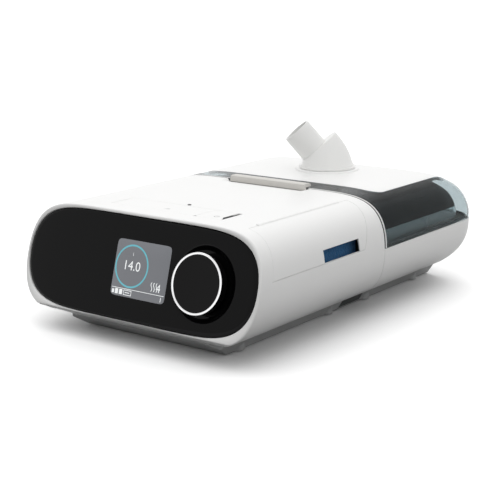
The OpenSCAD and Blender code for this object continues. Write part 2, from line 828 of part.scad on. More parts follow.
// Impeller: a back plate, a hub and blades that lean back from the eye
module impeller() color("lightgray")
  translate([blower_x0 + blower_wall + 3, blower_y, blower_z]) turned_x() difference() {
    depth = blower_w - blower_wall - 8;
    union() {
      cylinder(r = impeller_r, h = 1.5);
      cylinder(r = shaft_r + 3, h = depth - 4);
      for (k = [0:blade_count - 1]) rotate([0, 0, k * 360 / blade_count])
        intersection() {
          translate([impeller_r * 0.55, impeller_r * 0.35, 0])
            tube(impeller_r * 0.62, impeller_r * 0.62 - 1.2, depth);
          tube(impeller_r - 0.5, shaft_r + 5, depth);
          translate([0, -impeller_r, 0]) cube([impeller_r, impeller_r, depth]);
        }
    }
    translate([0, 0, -1]) cylinder(r = shaft_r + 0.01, h = depth + 2);
  }

module motor_shaft() color("silver")
  translate([blower_x0 - motor_l - 1, blower_y, blower_z]) turned_x()
    cylinder(r = shaft_r, h = motor_l + blower_w - 8);

module outlet_boot() color("#555a5e") translate([outlet_x, y_seam - 24, outlet_z])
  turned_y() tube(outlet_r + 0.1 + bellows_wall, outlet_r + 0.1, 20);

module main_board() color("darkgreen") difference() {
  translate([-board_x, board_y0, board_z])
    cube([2 * board_x, board_y1 - board_y0, board_t]);
  at_air_box_posts() cylinder(r = post_r + fit_gap, h = big);
  at_blower_posts() cylinder(r = post_r + fit_gap, h = big);
}

module board_parts() color("#222222") translate([0, 0, board_z + board_t]) {
  for (k = [0:3]) translate([-34 + 15 * k, board_y0 + 12, 0]) cylinder(r = 4, h = 9);
  translate([28, board_y0 + 7, 0]) cube([14, 10, 8]);
  translate([-board_x + 1.5, blower_y - blower_r - 8.5, 0]) cube([10, 6, 6]);
  translate([-10, board_y0 + 22, 0]) cube([12, 12, 1.6]);
  translate([-8, board_y1 - 20, 0]) cube([10, 10, 1.6]);
}

module rear_panel() color("whitesmoke") difference() {
  along_y(y_fore - panel_back_t, y_fore) section(wall + 0.15);
  translate([outlet_x, y_fore - panel_back_t - 1, outlet_z]) turned_y()
    cylinder(r = outlet_r + run_gap, h = panel_back_t + 2);
}

// Stub through the rear panel, with a collar, from the outlet boot to the humidifier's seal
module air_stub() color("whitesmoke") {
  translate([outlet_x, y_fore - 2 - stub_front, outlet_z]) turned_y()
    tube(outlet_r, outlet_r - outlet_wall, stub_front + stub_back + 2);
  translate([outlet_x, y_fore - panel_back_t - stub_collar_t, outlet_z]) turned_y()
    tube(outlet_r + 2, outlet_r - outlet_wall, stub_collar_t);
}

// Screws driven up from below, as a group
module screw(z_head, length) {
  translate([0, 0, z_head]) cylinder(r = screw_head_r, h = screw_head_t);
  translate([0, 0, z_head + screw_head_t - eps]) cylinder(r = screw_r - run_gap, h = length);
}

module tray_screws() color("silver") at_unit_bosses()
  screw(foot_z0 + wall - screw_head_t, z_floor + 5 - foot_z0 - wall);

module tray_feet() color("#3b3b3b") at_unit_pads() cylinder(r = pad_r, h = foot_z0 + pad_sink);

// Rear unit

// Its front wall is a bulkhead that stands up inside the lid and carries the air inlet
module humidifier_base() color("white") {
  difference() {
    tail_form(0, y_aft);
    tail_form(wall, y_aft + bulk_t);
    difference() {
      above(z_part);
      along_y(y_aft - 1, y_aft + bulk_t + eps) section(lid_wall + bulk_drop);
    }
    above(latch_pin_z - latch_barrel_r - 1.5);
    translate([outlet_x, y_aft - 1, outlet_z]) turned_y()
      cylinder(r = outlet_r + 2.4, h = bulk_t + 2);
    translate([0, lid_axis_y, z_part]) turned_x() translate([0, 0, -knuckle_end - 0.5])
      cylinder(r = lid_barrel_r + fit_gap, h = 2 * knuckle_end + 1);
    translate([jack_x, y_rear - wall - 6, jack_z]) turned_y()
      cylinder(r = jack_r + fit_gap, h = wall + 12);
    at_humid_bosses() translate([0, 0, z_bot - 1]) cylinder(r = screw_r, h = wall + 2);
  }
  // Middle knuckle of the lid's hinge
  difference() {
    union() {
      translate([-knuckle_mid, lid_axis_y, z_part]) turned_x()
        cylinder(r = lid_barrel_r, h = 2 * knuckle_mid);
      translate([-knuckle_mid, y_rear - wall, z_part - lid_barrel_r - 3])
        cube([2 * knuckle_mid, wall - 0.2, lid_barrel_r + 3]);
    }
    translate([-knuckle_mid - 1, lid_axis_y, z_part]) turned_x()
      cylinder(r = lid_pin_r + run_gap, h = 2 * knuckle_mid + 2);
  }
}

module humidifier_foot() color("whitesmoke") {
  difference() {
    foot_form(y_aft, y_rear, 0, z_bot + foot_over);
    below(foot_z0);
    translate([0, 0, foot_z0 + wall]) difference() {
      foot_form(y_aft + wall, y_rear, wall, z_bot + foot_over);
      below(0);
    }
    tail_form(-0.1, y_aft - 1);
    at_humid_pads() cylinder(r = pad_r + run_gap, h = foot_z0 + pad_sink);
    at_humid_bosses() {
      cylinder(r = screw_r + run_gap, h = big);
      cylinder(r = screw_head_r + fit_gap, h = foot_z0 + wall + eps);
    }
    for (x = [-big - catch_in + 3, catch_in - 3])
      translate([x, catch_y0 - fit_gap, foot_z0 + 0.8])
        cube([big, catch_l + 2 * fit_gap, z_bot]);
  }
  difference() {
    union() {
      at_humid_bosses() translate([0, 0, foot_z0])
        cylinder(r = boss_r, h = z_bot - foot_z0);
      at_humid_pads() translate([0, 0, foot_z0 + pad_sink])
        cylinder(r = pad_r + 1, h = wall);
    }
    at_humid_bosses() {
      cylinder(r = screw_r + run_gap, h = big);
      cylinder(r = screw_head_r + fit_gap, h = foot_z0 + wall);
    }
  }
}

module humidifier_screws() color("silver") at_humid_bosses()
  screw(foot_z0 + wall - screw_head_t, z_floor - foot_z0 - wall);

module humidifier_feet() color("#3b3b3b") at_humid_pads()
  cylinder(r = pad_r, h = foot_z0 + pad_sink);

module inlet_seal() color("#9aa0a3") translate([outlet_x, y_aft, outlet_z])
  turned_y() tube(outlet_r + 2.3, outlet_r + 0.1, spout_y - y_aft);

// Outline of the tank in X and Y, drawn in by an inset
module tank_outline(inset = 0) {
  translate([0, (tank_y0 + tank_y1) / 2])
    rounded(tank_w - 2 * inset, tank_y1 - tank_y0 - 2 * inset, tank_corner - inset);
}

module heater_outline(grow = 0) {
  translate([0, heater_y0 + heater_l / 2])
    rounded(heater_w + 2 * grow, heater_l + 2 * grow, heater_corner + grow);
}

module heater_pad() color("#b5562b") translate([0, 0, z_floor])
  linear_extrude(heater_z - z_floor) heater_outline(-3);

module heater_plate() color("silver") translate([0, 0, heater_z])
  linear_extrude(heater_t) heater_outline();

module tank_floor() color("lightsteelblue") translate([0, 0, tank_z0])
  linear_extrude(floor_plate_t) heater_outline(-2);

module tank_tub() color("#dfe9ee") difference() {
  translate([0, 0, tank_z0]) linear_extrude(tank_rim_z - tank_z0) tank_outline();
  translate([0, 0, tank_z0 + tank_wall]) linear_extrude(big) tank_outline(tank_wall);
  translate([0, 0, tank_z0 - 1]) linear_extrude(floor_plate_t + 1)
    heater_outline(-2 + run_gap);
  translate([0, 0, tank_z0]) linear_extrude(big) heater_outline(-6);
}

module tank_seal() color("#c9ced1") translate([0, 0, tank_rim_z])
  linear_extrude(tank_seal_t) difference() {
    tank_outline(0.3);
    tank_outline(tank_wall + 0.8);
  }

module tank_lid() color("#dfe9ee") {
  z0 = tank_rim_z + tank_seal_t;
  difference() {
    translate([0, 0, z0]) linear_extrude(tank_top_z - z0) tank_outline();
    translate([0, 0, z0 - 1]) linear_extrude(tank_top_z - tank_wall - z0 + 1)
      tank_outline(tank_wall);
    translate([elbow_x, elbow_y, tank_top_z - tank_wall - 1])
      cylinder(r = port_r, h = tank_wall + 2);
    translate([outlet_x, tank_y0 - 1, outlet_z]) turned_y()
      cylinder(r = outlet_r - outlet_wall, h = tank_wall + 2);
  }
  difference() {
    translate([outlet_x, spout_y, outlet_z]) turned_y() {
      tube(outlet_r + 2.3, outlet_r - outlet_wall, 1.5);
      tube(outlet_r, outlet_r - outlet_wall, tank_y0 - spout_y + 0.5);
    }
    above(tank_top_z);
  }
}

module power_inlet() color("#1c1c1e") translate([jack_x, y_rear - 2 - jack_l, jack_z])
  turned_y() {
    difference() {
      cylinder(r = jack_r, h = jack_l);
      translate([0, 0, 6]) cylinder(r = jack_bore_r, h = jack_l);
    }
    translate([0, 0, 5]) cylinder(r = 1, h = jack_l - 7);
  }

// Release catch on one side of the foot: a block in the slanted side and its guide tongue
module catch_shape(side) {
  intersection() {
    foot_form(catch_y0, catch_y0 + catch_l);
    translate([side > 0 ? catch_in : -big - catch_in, catch_y0, foot_z0 + 1.1])
      cube([big, catch_l, z_bot - foot_z0 - 1.4]);
  }
}

module catch_right() color("#3a3d3d") catch_shape(1);
module catch_left() color("#3a3d3d") catch_shape(-1);

// Where the white cover lies on the lid, seen from above
module cover_zone(grow = 0) {
  translate([0, (cover_y0 + cover_y1) / 2, z_mid + body_h / 4])
    linear_extrude(body_h)
      rounded(2 * (cover_x + grow), cover_y1 - cover_y0 + 2 * grow, cover_corner + grow);
}

module lid_window() color([0.25, 0.36, 0.37, 0.55]) {
  difference() {
    tail_form(0, y_aft);
    difference() {
      tail_form(lid_wall, y_seam - 1);
    }
    below(z_part + fit_gap);
    intersection() {
      cover_zone(0.1);
      difference() {
        tail_form(-1, y_seam);
        tail_form(cover_t, y_seam);
      }
    }
    translate([elbow_x, elbow_y, z_mid]) cylinder(r = port_r + port_wall + 0.1, h = body_h);
    translate([-latch_barrel_x - fit_gap, y_seam - 1, z_mid])
      cube([2 * (latch_barrel_x + fit_gap), latch_notch_y - y_seam + 1, body_h]);
    translate([-knuckle_mid - fit_gap, lid_axis_y, z_part]) turned_x()
      cylinder(r = lid_barrel_r + fit_gap, h = 2 * (knuckle_mid + fit_gap));
    translate([-knuckle_end - 1, lid_axis_y, z_part]) turned_x()
      cylinder(r = lid_pin_r + run_gap, h = 2 * knuckle_end + 2);
  }
  // Lugs of the latch's pin
  for (side = [-1, 1]) difference() {
    translate([side * (latch_barrel_x + 2 + fit_gap) - 2, latch_pin_y - 2.5, latch_pin_z - 2.2])
      cube([4, 5, z_top - lid_wall - latch_pin_z + 2.2 + eps]);
    translate([side * (latch_barrel_x + 2) - 5, latch_pin_y, latch_pin_z]) turned_x()
      cylinder(r = latch_pin_r + 0.01, h = 10);
  }
  // End knuckles of the lid's hinge
  for (x = [-knuckle_end, knuckle_mid + fit_gap]) difference() {
    union() {
      translate([x, lid_axis_y, z_part]) turned_x()
        cylinder(r = lid_barrel_r, h = knuckle_end - knuckle_mid - fit_gap);
      translate([x, y_rear - lid_wall, z_part + fit_gap])
        cube([knuckle_end - knuckle_mid - fit_gap, lid_wall - 0.2, lid_barrel_r + 3]);
    }
    translate([x - 1, lid_axis_y, z_part]) turned_x()
      cylinder(r = lid_pin_r + run_gap, h = knuckle_end);
  }
}

module lid_cover() color("white") difference() {
  intersection() {
    cover_zone();
    difference() {
      tail_form(0, y_seam);
      tail_form(cover_t - 0.1, y_seam);
    }
  }
  translate([elbow_x, elbow_y, z_mid]) cylinder(r = port_flange_r + 0.1, h = body_h);
}

module lid_hinge_pin() color("silver") translate([-knuckle_end, lid_axis_y, z_part])
  turned_x() cylinder(r = lid_pin_r, h = 2 * knuckle_end);

// Latch: a bar over the seam, hooked on a pin under the lid's front lip
module lid_latch() color("#cfcbc4") difference() {
  union() {
    along_x(-latch_w / 2, latch_w / 2) polygon([
      [y_seam - latch_reach, z_top + fit_gap], [y_seam + latch_back - 1, z_top + fit_gap],
      [y_seam + latch_back, z_top + 0.9], [y_seam + latch_back, z_top + latch_h - 0.8],
      [y_seam + latch_back - 2, z_top + latch_h],
      [y_seam - latch_reach + 1, z_top + latch_h], [y_seam - latch_reach, z_top + latch_h - 0.8]
    ]);
    translate([-latch_barrel_x, latch_arm_y[0], latch_pin_z])
      cube([2 * latch_barrel_x, latch_arm_y[1] - latch_arm_y[0], z_top + 1 - latch_pin_z]);
    translate([-latch_barrel_x, latch_arm_y[0], latch_pin_z - latch_barrel_r])
      cube([2 * latch_barrel_x, latch_pin_y - latch_arm_y[0], latch_barrel_r + 1]);
    translate([-latch_barrel_x, latch_pin_y, latch_pin_z]) turned_x()
      cylinder(r = latch_barrel_r, h = 2 * latch_barrel_x);
  }
  translate([-latch_w, latch_pin_y, latch_pin_z]) turned_x()
    cylinder(r = latch_pin_r + run_gap, h = 2 * latch_w);
}

module latch_pin() color("silver")
  translate([-latch_barrel_x - 4 - fit_gap, latch_pin_y, latch_pin_z]) turned_x()
    cylinder(r = latch_pin_r, h = 2 * (latch_barrel_x + 4 + fit_gap));

module outlet_port() color("whitesmoke") translate([elbow_x, elbow_y, 0]) difference() {
  union() {
    translate([0, 0, tank_top_z + port_seal_t])
      cylinder(r = port_r + port_wall, h = z_top - tank_top_z - port_seal_t);
    translate([0, 0, z_top - cover_t])
      cylinder(r = port_flange_r, h = cover_t + port_flange_up);
  }
  translate([0, 0, tank_top_z]) cylinder(r = port_r, h = big);
}

module port_seal() color("#9aa0a3") translate([elbow_x, elbow_y, tank_top_z + 0.2])
  tube(port_r + port_wall, port_r + 0.2, port_seal_t - 0.2);

// Outer or inner form of the elbow's body, a tapered dome cut square to the connector
module elbow_dome(inset = 0) {
  r = elbow_r - 1 - inset;
  lean = dome_curve - sqrt(pow(dome_curve, 2) - pow(dome_drop, 2));
  difference() {
    rotate_extrude() intersection() {
      translate([r - dome_curve + lean, -dome_drop]) circle(dome_curve);
      square([r, elbow_apex + 6 - inset]);
    }
    translate([elbow_cut_x, 0, elbow_apex - inset]) rotate([0, 90 - connector_rise, 0])
      translate([-big / 2, -big / 2, 0]) cube([big, big, big]);
  }
}

module on_connector() {
  translate([connector_base[0], 0, connector_base[1]])
    rotate([0, 90 - connector_rise, 0]) children();
}

module outlet_elbow() color([0.9, 0.91, 0.9, 0.9])
  translate([elbow_x, elbow_y, elbow_z]) rotate([0, 0, elbow_turn]) difference() {
    union() {
      elbow_dome();
      cylinder(r = elbow_r, h = 1.5);
      translate([0, 0, -spigot_l]) cylinder(r = spigot_r, h = spigot_l + 1);
      on_connector() translate([0, 0, -6]) cylinder(r = connector_r, h = connector_l + 6);
    }
    difference() {
      elbow_dome(elbow_skin);
      translate([0, 0, -1]) cylinder(r = elbow_r, h = 2.5);
    }
    translate([0, 0, -spigot_l - 1]) cylinder(r = spigot_r - spigot_wall, h = spigot_l + 6);
    on_connector() translate([0, 0, -7])
      cylinder(r = connector_r - connector_wall, h = connector_l + 9);
  }

module elbow_seal() color("#9aa0a3") translate([elbow_x, elbow_y, elbow_z - spigot_l - 1.2])
  tube(spigot_r, spigot_r - spigot_wall, 1.2);

main_housing();
base_tray();
front_panel();
screen_lens();
display_module();
display_board();
encoder_body();
encoder_stem();
dial_knob();
dial_ring();
ramp_key();
power_key();
key_mat();
key_board();
light_sensor();
filter_door();
door_hinge_pin();
filter_bay();
pollen_filter();
fine_filter();
memory_card();
air_box();
inlet_bellows();
blower_case();
blower_cover();
blower_motor();
blower_mounts();
impeller();
motor_shaft();
outlet_boot();
main_board();
board_parts();
rear_panel();
air_stub();
tray_screws();
tray_feet();
humidifier_base();
humidifier_foot();
humidifier_screws();
humidifier_feet();
inlet_seal();
heater_pad();
heater_plate();
tank_floor();
tank_tub();
tank_seal();
tank_lid();
power_inlet();
catch_right();
catch_left();
lid_window();
lid_cover();
lid_hinge_pin();
lid_latch();
latch_pin();
outlet_port();
port_seal();
outlet_elbow();
elbow_seal();
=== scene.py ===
"""Looks of the bilevel breathing machine with its humidifier and outlet elbow.

Lengths in the functions are in millimetres, in the frame of the CAD model: X to the right seen
from the front, Y to the back, Z up. add_piece() turns them to metres.
"""
import math
from types import SimpleNamespace

import bmesh
import bpy
import numpy as np
from mathutils import Matrix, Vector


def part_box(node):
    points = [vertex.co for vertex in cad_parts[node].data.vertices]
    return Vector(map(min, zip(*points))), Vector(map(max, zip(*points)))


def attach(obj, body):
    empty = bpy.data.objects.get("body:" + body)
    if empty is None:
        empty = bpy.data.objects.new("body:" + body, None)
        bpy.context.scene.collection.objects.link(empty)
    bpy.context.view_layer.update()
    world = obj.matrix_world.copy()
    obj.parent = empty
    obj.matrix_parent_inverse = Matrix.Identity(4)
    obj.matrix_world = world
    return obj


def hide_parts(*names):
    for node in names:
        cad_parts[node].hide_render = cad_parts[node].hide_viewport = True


bl_info = {
    "name": "Breathing machine",
    "version": (1, 0, 0),
    "blender": (4, 5, 0),
    "location": "3D View > Sidebar > Breathing machine",
    "description": "Builds the dressed model of a bilevel breathing machine on its CAD frame",
    "category": "Object",
}

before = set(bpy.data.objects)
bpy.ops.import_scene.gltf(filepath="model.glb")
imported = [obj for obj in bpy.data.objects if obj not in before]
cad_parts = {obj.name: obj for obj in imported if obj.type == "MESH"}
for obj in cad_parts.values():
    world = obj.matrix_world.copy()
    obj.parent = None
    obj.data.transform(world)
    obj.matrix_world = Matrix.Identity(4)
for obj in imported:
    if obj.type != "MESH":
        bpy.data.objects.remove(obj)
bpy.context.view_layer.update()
MM = 0.001


def box_mm(node):
    """Lowest and highest corner of a CAD node at rest, in millimetres."""
    low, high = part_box(node)
    return np.array(low) / MM, np.array(high) / MM


def middle_mm(node):
    """Middle of a CAD node's box at rest, in millimetres."""
    low, high = box_mm(node)
    return (low + high) / 2


def linear(code):
    """An sRGB hex colour as linear RGB."""
    c = np.array([int(code[i:i + 2], 16) for i in (1, 3, 5)]) / 255
    return tuple(np.where(c <= 0.04045, c / 12.92, ((c + 0.055) / 1.055) ** 2.4))


HOUSING = box_mm("main_housing")
COVER = box_mm("lid_cover")
HINGE_PIN = middle_mm("lid_hinge_pin")
LATCH = box_mm("lid_latch")
TANK_FRONT = float(box_mm("tank_tub")[0][1])
SEAM_FRONT = float(HOUSING[1][1])
SEAM_BACK = SEAM_FRONT + 0.4
BACK_WALL = float(HINGE_PIN[1]) - 0.1
PART_Z = float(HINGE_PIN[2])


# Sizes and colours that a user may change


def length(name, description, millimetres):
    """A length property, given in millimetres and kept in metres."""
    return bpy.props.FloatProperty(
        name=name, description=description, default=millimetres * MM, unit="LENGTH", precision=4
    )


def number(name, description, value):
    """A plain number property."""
    return bpy.props.FloatProperty(name=name, description=description, default=value)


def colour(name, description, code):
    """A colour property, given as an sRGB hex value and kept linear."""
    return bpy.props.FloatVectorProperty(
        name=name, description=description, default=linear(code), subtype="COLOR", size=3,
        min=0, max=1,
    )


class MachineSizes(bpy.types.PropertyGroup):
    """Sizes of the housings, panel, keys, door, lid and elbow"""

    half_w: length("Half width", "Half the width of both housings", 96.5)
    half_h: length("Half height", "Half the height of the housings at their middle", 35.35)
    mid_z: length("Middle height", "Height of the middle of the housings above the table", 48.0)
    side_power: number("Side power", "How flat the flanks of the housings are", 7.7)
    top_power: number("Top power", "How flat the top of the housings is", 2.27)
    tail_plan: length("Rear rounding", "Length of the rear rounding, seen from above", 32)
    tail_rise: length("Rear slope", "Length of the rear rounding, seen from the side", 42.6)
    wall: length("Wall", "Wall of the moulded shells", 2.2)
    gap: length("Gap", "Gap round the keys", 0.3)
    door_gap: length("Door gap", "Gap round the side door", 0.14)
    # The lid rim is a painted highlight: a white strip for the light that the edge at the seam
    # catches
    rim: length("Lid rim", "Width of the white rim at the lid's front", 1.3)
    # The seam seal is painted shade: a dark strip for the shadow in the gap between the units
    seam_seal: length("Seam seal", "Width of the dark seal in the seam", 1.1)
    tank_split: length("Tank lid", "Height of the tank lid's lower edge", 58)
    dip: length("Finger recess", "Depth of the recess in front of the latch", 2.3)
    edge: length("Seam edge", "Radius of the front unit's edge at the seam", 0.35)
    lip: length("Front edge", "Radius of the front edge round the panel", 1.3)
    panel_half_w: length("Panel half width", "Half the width of the front panel", 94.4)
    panel_half_h: length("Panel half height", "Half the height of the front panel", 33.0)
    panel_roll: length("Panel edge", "Width of the panel's rolled edge", 3.6)
    panel_fall: length("Panel edge depth", "How far the panel's edge rolls back", 1.5)
    face_up: length("Panel middle", "Height of the panel's middle above the housing's floor", 36.8)
    unit_l: length("Front unit", "Length of the front unit", 150.3)
    dish_r: length("Dish", "Radius of the dish round the dial", 24.5)
    dish_depth: length("Dish depth", "Depth of the dish round the dial", 2)
    dial_r: length("Dial", "Radius of the dial", 19)
    dial_out: length("Dial height", "How far the dial stands out of the panel", 7)
    door_z: length("Door height", "Height of the door's lower edge", 53.6)
    door_front: length("Door front", "Front end of the door's lower edge", -124.244)
    door_back: length("Door back", "Back end of the door's lower edge", -22.244)
    inlet_front: length("Inlet front", "Front end of the air inlet", -69.244)
    inlet_back: length("Inlet back", "Back end of the air inlet", -28.244)
    inlet_h: length("Inlet height", "Height of the air inlet", 8.3)
    key_left: length("Keys left", "Left end of the keys", -41.5)
    key_split: length("Keys split", "Split between the keys", 28.4)
    key_right: length("Keys right", "Right end of the keys", 49.4)
    slot: length("Key slot", "Width of the dark slot beside the power key", 3.2)
    key_front: length("Keys front", "Front edge of the keys", -113.4)
    key_back: length("Keys back", "Back edge of the keys", -91.8)
    chin_back: length("Chin", "Back end of the chin at table height", -120.244)
    lid_wall: length("Lid wall", "Wall of the see-through lid", 2.2)
    cover_t: length("Cover", "Thickness of the white top cover", 1.3)
    cover_corner: length("Cover corner", "Corner radius of the white top cover", 10)
    port_r: length("Port", "Inner radius of the air port", 14.1)
    flange_r: length("Flange", "Radius of the port's flange", 24)
    elbow_r: length("Elbow foot", "Radius of the elbow's foot", 21)
    connector_r: length("Connector", "Outer radius of the hose connector", 11)
    connector_l: length("Connector length", "Length of the hose connector", 20)


class MachineColours(bpy.types.PropertyGroup):
    """Colours of the machine's materials"""

    shell: colour("Shell", "Satin white of the housings", "#F5F5F4")
    # The foot is white plastic: its light grey is painted shade, the shade that falls under the
    # housings
    foot: colour("Foot", "Matt light grey of the foot", "#B4B5B5")
    panel: colour("Panel", "Black of the front panel", "#070708")
    dial: colour("Dial", "Black of the dial", "#0B0A0B")
    ring: colour("Ring", "Plated ring of the dial", "#F0F0F1")
    screen: colour("Screen", "Grey of the lit display", "#74767B")
    gauge: colour("Gauge", "Teal ring on the display", "#62B3C0")
    mark: colour("Marks", "Pale figures on the display", "#D2D5D5")
    window: colour("Window", "Smoke teal of the lid", "#C9D1D3")
    tank: colour("Tank", "Clear plastic of the tank", "#DCE8EA")
    smoke: colour("Tank lid", "Dark smoke of the tank's lid", "#0A1113")
    elbow: colour("Elbow", "Milky plastic of the elbow", "#F3F3F1")
    # The latch bar is white plastic: its warm grey is painted shade, the shade on the bar's front
    # face
    latch: colour("Latch", "Warm grey of the latch bar", "#D3D0CB")
    catch: colour("Catch", "Dark grey of the catches", "#333635")
    filter: colour("Filter", "Blue of the pollen filter", "#1F6FA8")


def sizes():
    """The size properties in millimetres, with the plain numbers as they are."""
    group = bpy.context.scene.machine_sizes
    plain = {"side_power", "top_power"}
    return SimpleNamespace(**{
        key: getattr(group, key) * (1 if key in plain else 1 / MM)
        for key in MachineSizes.__annotations__
    })


def tint(base):
    """A colour property, or an sRGB hex value, as linear RGBA."""
    if base.startswith("#"):
        return (*linear(base), 1)
    return (*getattr(bpy.context.scene.machine_colours, base), 1)


# Materials


def add_node(tree, kind, settings=None, sources=(), **links):
    """Adds a node, sets its sockets and properties, and links its inputs: to sources in their
    order, and to links by socket name."""
    node = tree.nodes.new(kind)
    for key, value in (settings or {}).items():
        if key in node.inputs:
            node.inputs[key].default_value = value
        else:
            setattr(node, key, value)
    for socket, source in zip(node.inputs, sources):
        tree.links.new(source, socket)
    for key, source in links.items():
        tree.links.new(source, node.inputs[key.replace("_", " ")])
    return node


def material(name, base, rough, grain=0.5, depth=0.01, shade=0.03, smudge=0.05, patch=30,
             **sockets):
    """A moulded, cast, drawn or rolled surface: its grain in millimetres as bump, and slow
    changes of colour and roughness over patches of a real size. The constants sit on the shader
    itself."""
    found = bpy.data.materials.get(name)
    if found:
        return found
    made = bpy.data.materials.new(name)
    made.use_nodes = True
    tree = made.node_tree
    shader = tree.nodes["Principled BSDF"]
    where = add_node(tree, "ShaderNodeTexCoord").outputs["Object"]
    slow = add_node(
        tree, "ShaderNodeTexNoise", {"Scale": 1000 / patch, "Detail": 3.0}, Vector=where
    )
    fine = add_node(
        tree, "ShaderNodeTexNoise", {"Scale": 1000 / grain, "Detail": 2.0}, Vector=where
    )
    dark = [c * (1 - shade) for c in base[:3]] + [1]
    mix = add_node(tree, "ShaderNodeMix", {"data_type": "RGBA"}, Factor=slow.outputs["Fac"])
    mix.inputs[6].default_value, mix.inputs[7].default_value = base, dark
    tree.links.new(mix.outputs[2], shader.inputs["Base Color"])
    spread = add_node(
        tree, "ShaderNodeMapRange",
        {"To Min": max(rough - smudge / 2, 0.01), "To Max": rough + smudge / 2},
        Value=slow.outputs["Fac"],
    )
    tree.links.new(spread.outputs[0], shader.inputs["Roughness"])
    bump = add_node(
        tree, "ShaderNodeBump", {"Distance": depth * MM, "Strength": 1.0},
        Height=fine.outputs["Fac"],
    )
    tree.links.new(bump.outputs[0], shader.inputs["Normal"])
    for key, value in sockets.items():
        shader.inputs[key.replace("_", " ")].default_value = value
    return made


# Each finish by its short name: the material's name, its colour as a colour property or an sRGB
# hex value, its roughness, and the other settings of material()
FINISHES = {
    # Injection-moulded ABS, spark-eroded tool: an even satin white with soft highlights
    "shell": ("moulded_abs_satin_white", "shell", 0.34, dict(
        grain=0.45, depth=0.006, shade=0.015, IOR=1.53, Coat_Weight=0.15, Coat_Roughness=0.18,
    )),
    # Moulded ABS with a coarser tool texture, matt. The foot is white: its light grey is painted
    # shade, the shade under the housings
    "foot": ("moulded_abs_matt_grey", "foot", 0.55, dict(grain=0.6, depth=0.02, IOR=1.53)),
    # Injection-moulded acrylic, polished tool: deep black under a hard clear gloss
    "panel": ("moulded_acrylic_gloss_black", "panel", 0.045, dict(
        grain=9, depth=0.0008, shade=0.2, smudge=0.02, patch=60, IOR=1.49, Specular_IOR_Level=0.12,
    )),
    # Moulded ABS, polished: the dial's black disc, a little warmer than the panel
    "dial": ("moulded_abs_polished_black", "dial", 0.16, dict(
        grain=0.8, depth=0.002, shade=0.15, smudge=0.04, IOR=1.53, Specular_IOR_Level=0.12,
    )),
    # Chrome-plated ABS: a bright ring with a slightly soft reflection
    "ring": ("chrome_plated_ring", "ring", 0.16, dict(
        grain=2, depth=0.001, smudge=0.04, Metallic=1.0,
    )),
    # Moulded polycarbonate, polished tool: a light smoke tint, darker where walls overlap. Its
    # thin wall mirrors and bends little, so that the dark tank shows through it
    "window": ("moulded_polycarbonate_smoke", "window", 0.035, dict(
        grain=12, depth=0.002, shade=0.05, smudge=0.01, IOR=1.12, Transmission_Weight=1.0,
    )),
    # Moulded copolyester: the clear tank, faintly blue at its thick edges
    "tank": ("moulded_copolyester_clear", "tank", 0.05, dict(
        grain=14, depth=0.003, smudge=0.02, IOR=1.15, Transmission_Weight=0.85,
    )),
    # Moulded copolyester, dark smoke: the tank's lid shows as a black band in the window
    "smoke": ("moulded_copolyester_smoke", "smoke", 0.06, dict(
        grain=14, depth=0.003, smudge=0.02, IOR=1.15, Transmission_Weight=0.1,
    )),
    # Moulded polypropylene: milky, lets some light through and blurs what is behind
    "elbow": ("moulded_polypropylene_milky", "elbow", 0.3, dict(
        grain=0.8, depth=0.004, IOR=1.49, Subsurface_Weight=0.2,
        Subsurface_Radius=(0.006, 0.006, 0.006), Subsurface_Scale=1.0,
    )),
    # Moulded ABS, satin: the latch bar is white; its warm light grey is painted shade, the shade
    # on its front face
    "latch": ("moulded_abs_warm_grey", "latch", 0.4, dict(grain=0.5, depth=0.01, IOR=1.53)),
    # Moulded acetal: the dark catches, matt with a fine grain
    "catch": ("moulded_acetal_dark_grey", "catch", 0.5, dict(grain=0.5, depth=0.02, IOR=1.48)),
    # Reticulated polyurethane foam: open blue cells about a millimetre wide
    "filter": ("reticulated_foam_blue", "filter", 0.9, dict(
        grain=1.3, depth=0.5, shade=0.5, patch=2.2, Sheen_Weight=0.3,
    )),
    # Electret fleece: fine white fibres
    "fleece": ("electret_fleece_white", "#E9E9E4", 0.95, dict(
        grain=0.7, depth=0.15, shade=0.1, Sheen_Weight=0.5,
    )),
    # Moulded polypropylene, dark: ducts and the blower's case
    "duct": ("moulded_polypropylene_dark", "#2A2C2F", 0.5, dict(grain=0.7, depth=0.02)),
    # Moulded polycarbonate, light grey: the impeller
    "impeller": ("moulded_polycarbonate_grey", "#C9CBCC", 0.35, dict(grain=0.8, depth=0.005)),
    # Liquid silicone rubber: soft grey, a little see-through at thin lips
    "silicone": ("cast_silicone_grey", "#A9AEB0", 0.45, dict(
        grain=1, depth=0.01, Subsurface_Weight=0.15, Subsurface_Scale=0.002,
    )),
    # Moulded natural rubber: the matt dark feet. The same dark paints the shade in the seam and in
    # the slot beside the power key
    "rubber": ("moulded_rubber_dark", "#2B2B2C", 0.8, dict(grain=0.8, depth=0.05)),
    # Moulded rubber, dark teal: the line along the foot of the see-through lid
    "seal": ("moulded_rubber_teal", "#1B2D30", 0.6, dict(grain=0.8, depth=0.02)),
    # Drawn stainless steel: pins, shafts and screws
    "steel": ("drawn_stainless_steel", "#C4C6C8", 0.28, dict(
        grain=0.4, depth=0.003, smudge=0.1, Metallic=1.0,
    )),
    # Rolled aluminium: the heater plate and its faint brushed look
    "aluminium": ("brushed_aluminium", "#CFD1D3", 0.38, dict(
        grain=0.3, depth=0.006, smudge=0.12, Metallic=1.0,
    )),
    # Polyimide film: amber, slightly glossy
    "film": ("polyimide_film_amber", "#B5662B", 0.25, dict(grain=3, depth=0.02)),
    # Lacquered glass-fibre laminate: green boards
    "board": ("lacquered_laminate_green", "#14512B", 0.3, dict(grain=1.2, depth=0.01, shade=0.2)),
    # Moulded epoxy: black components
    "component": ("moulded_epoxy_black", "#17181A", 0.45, dict(grain=0.5, depth=0.02)),
}


def finishes():
    """Every material of the machine, by its short name."""
    return {
        key: material(name, tint(base), rough, **settings)
        for key, (name, base, rough, settings) in FINISHES.items()
    }


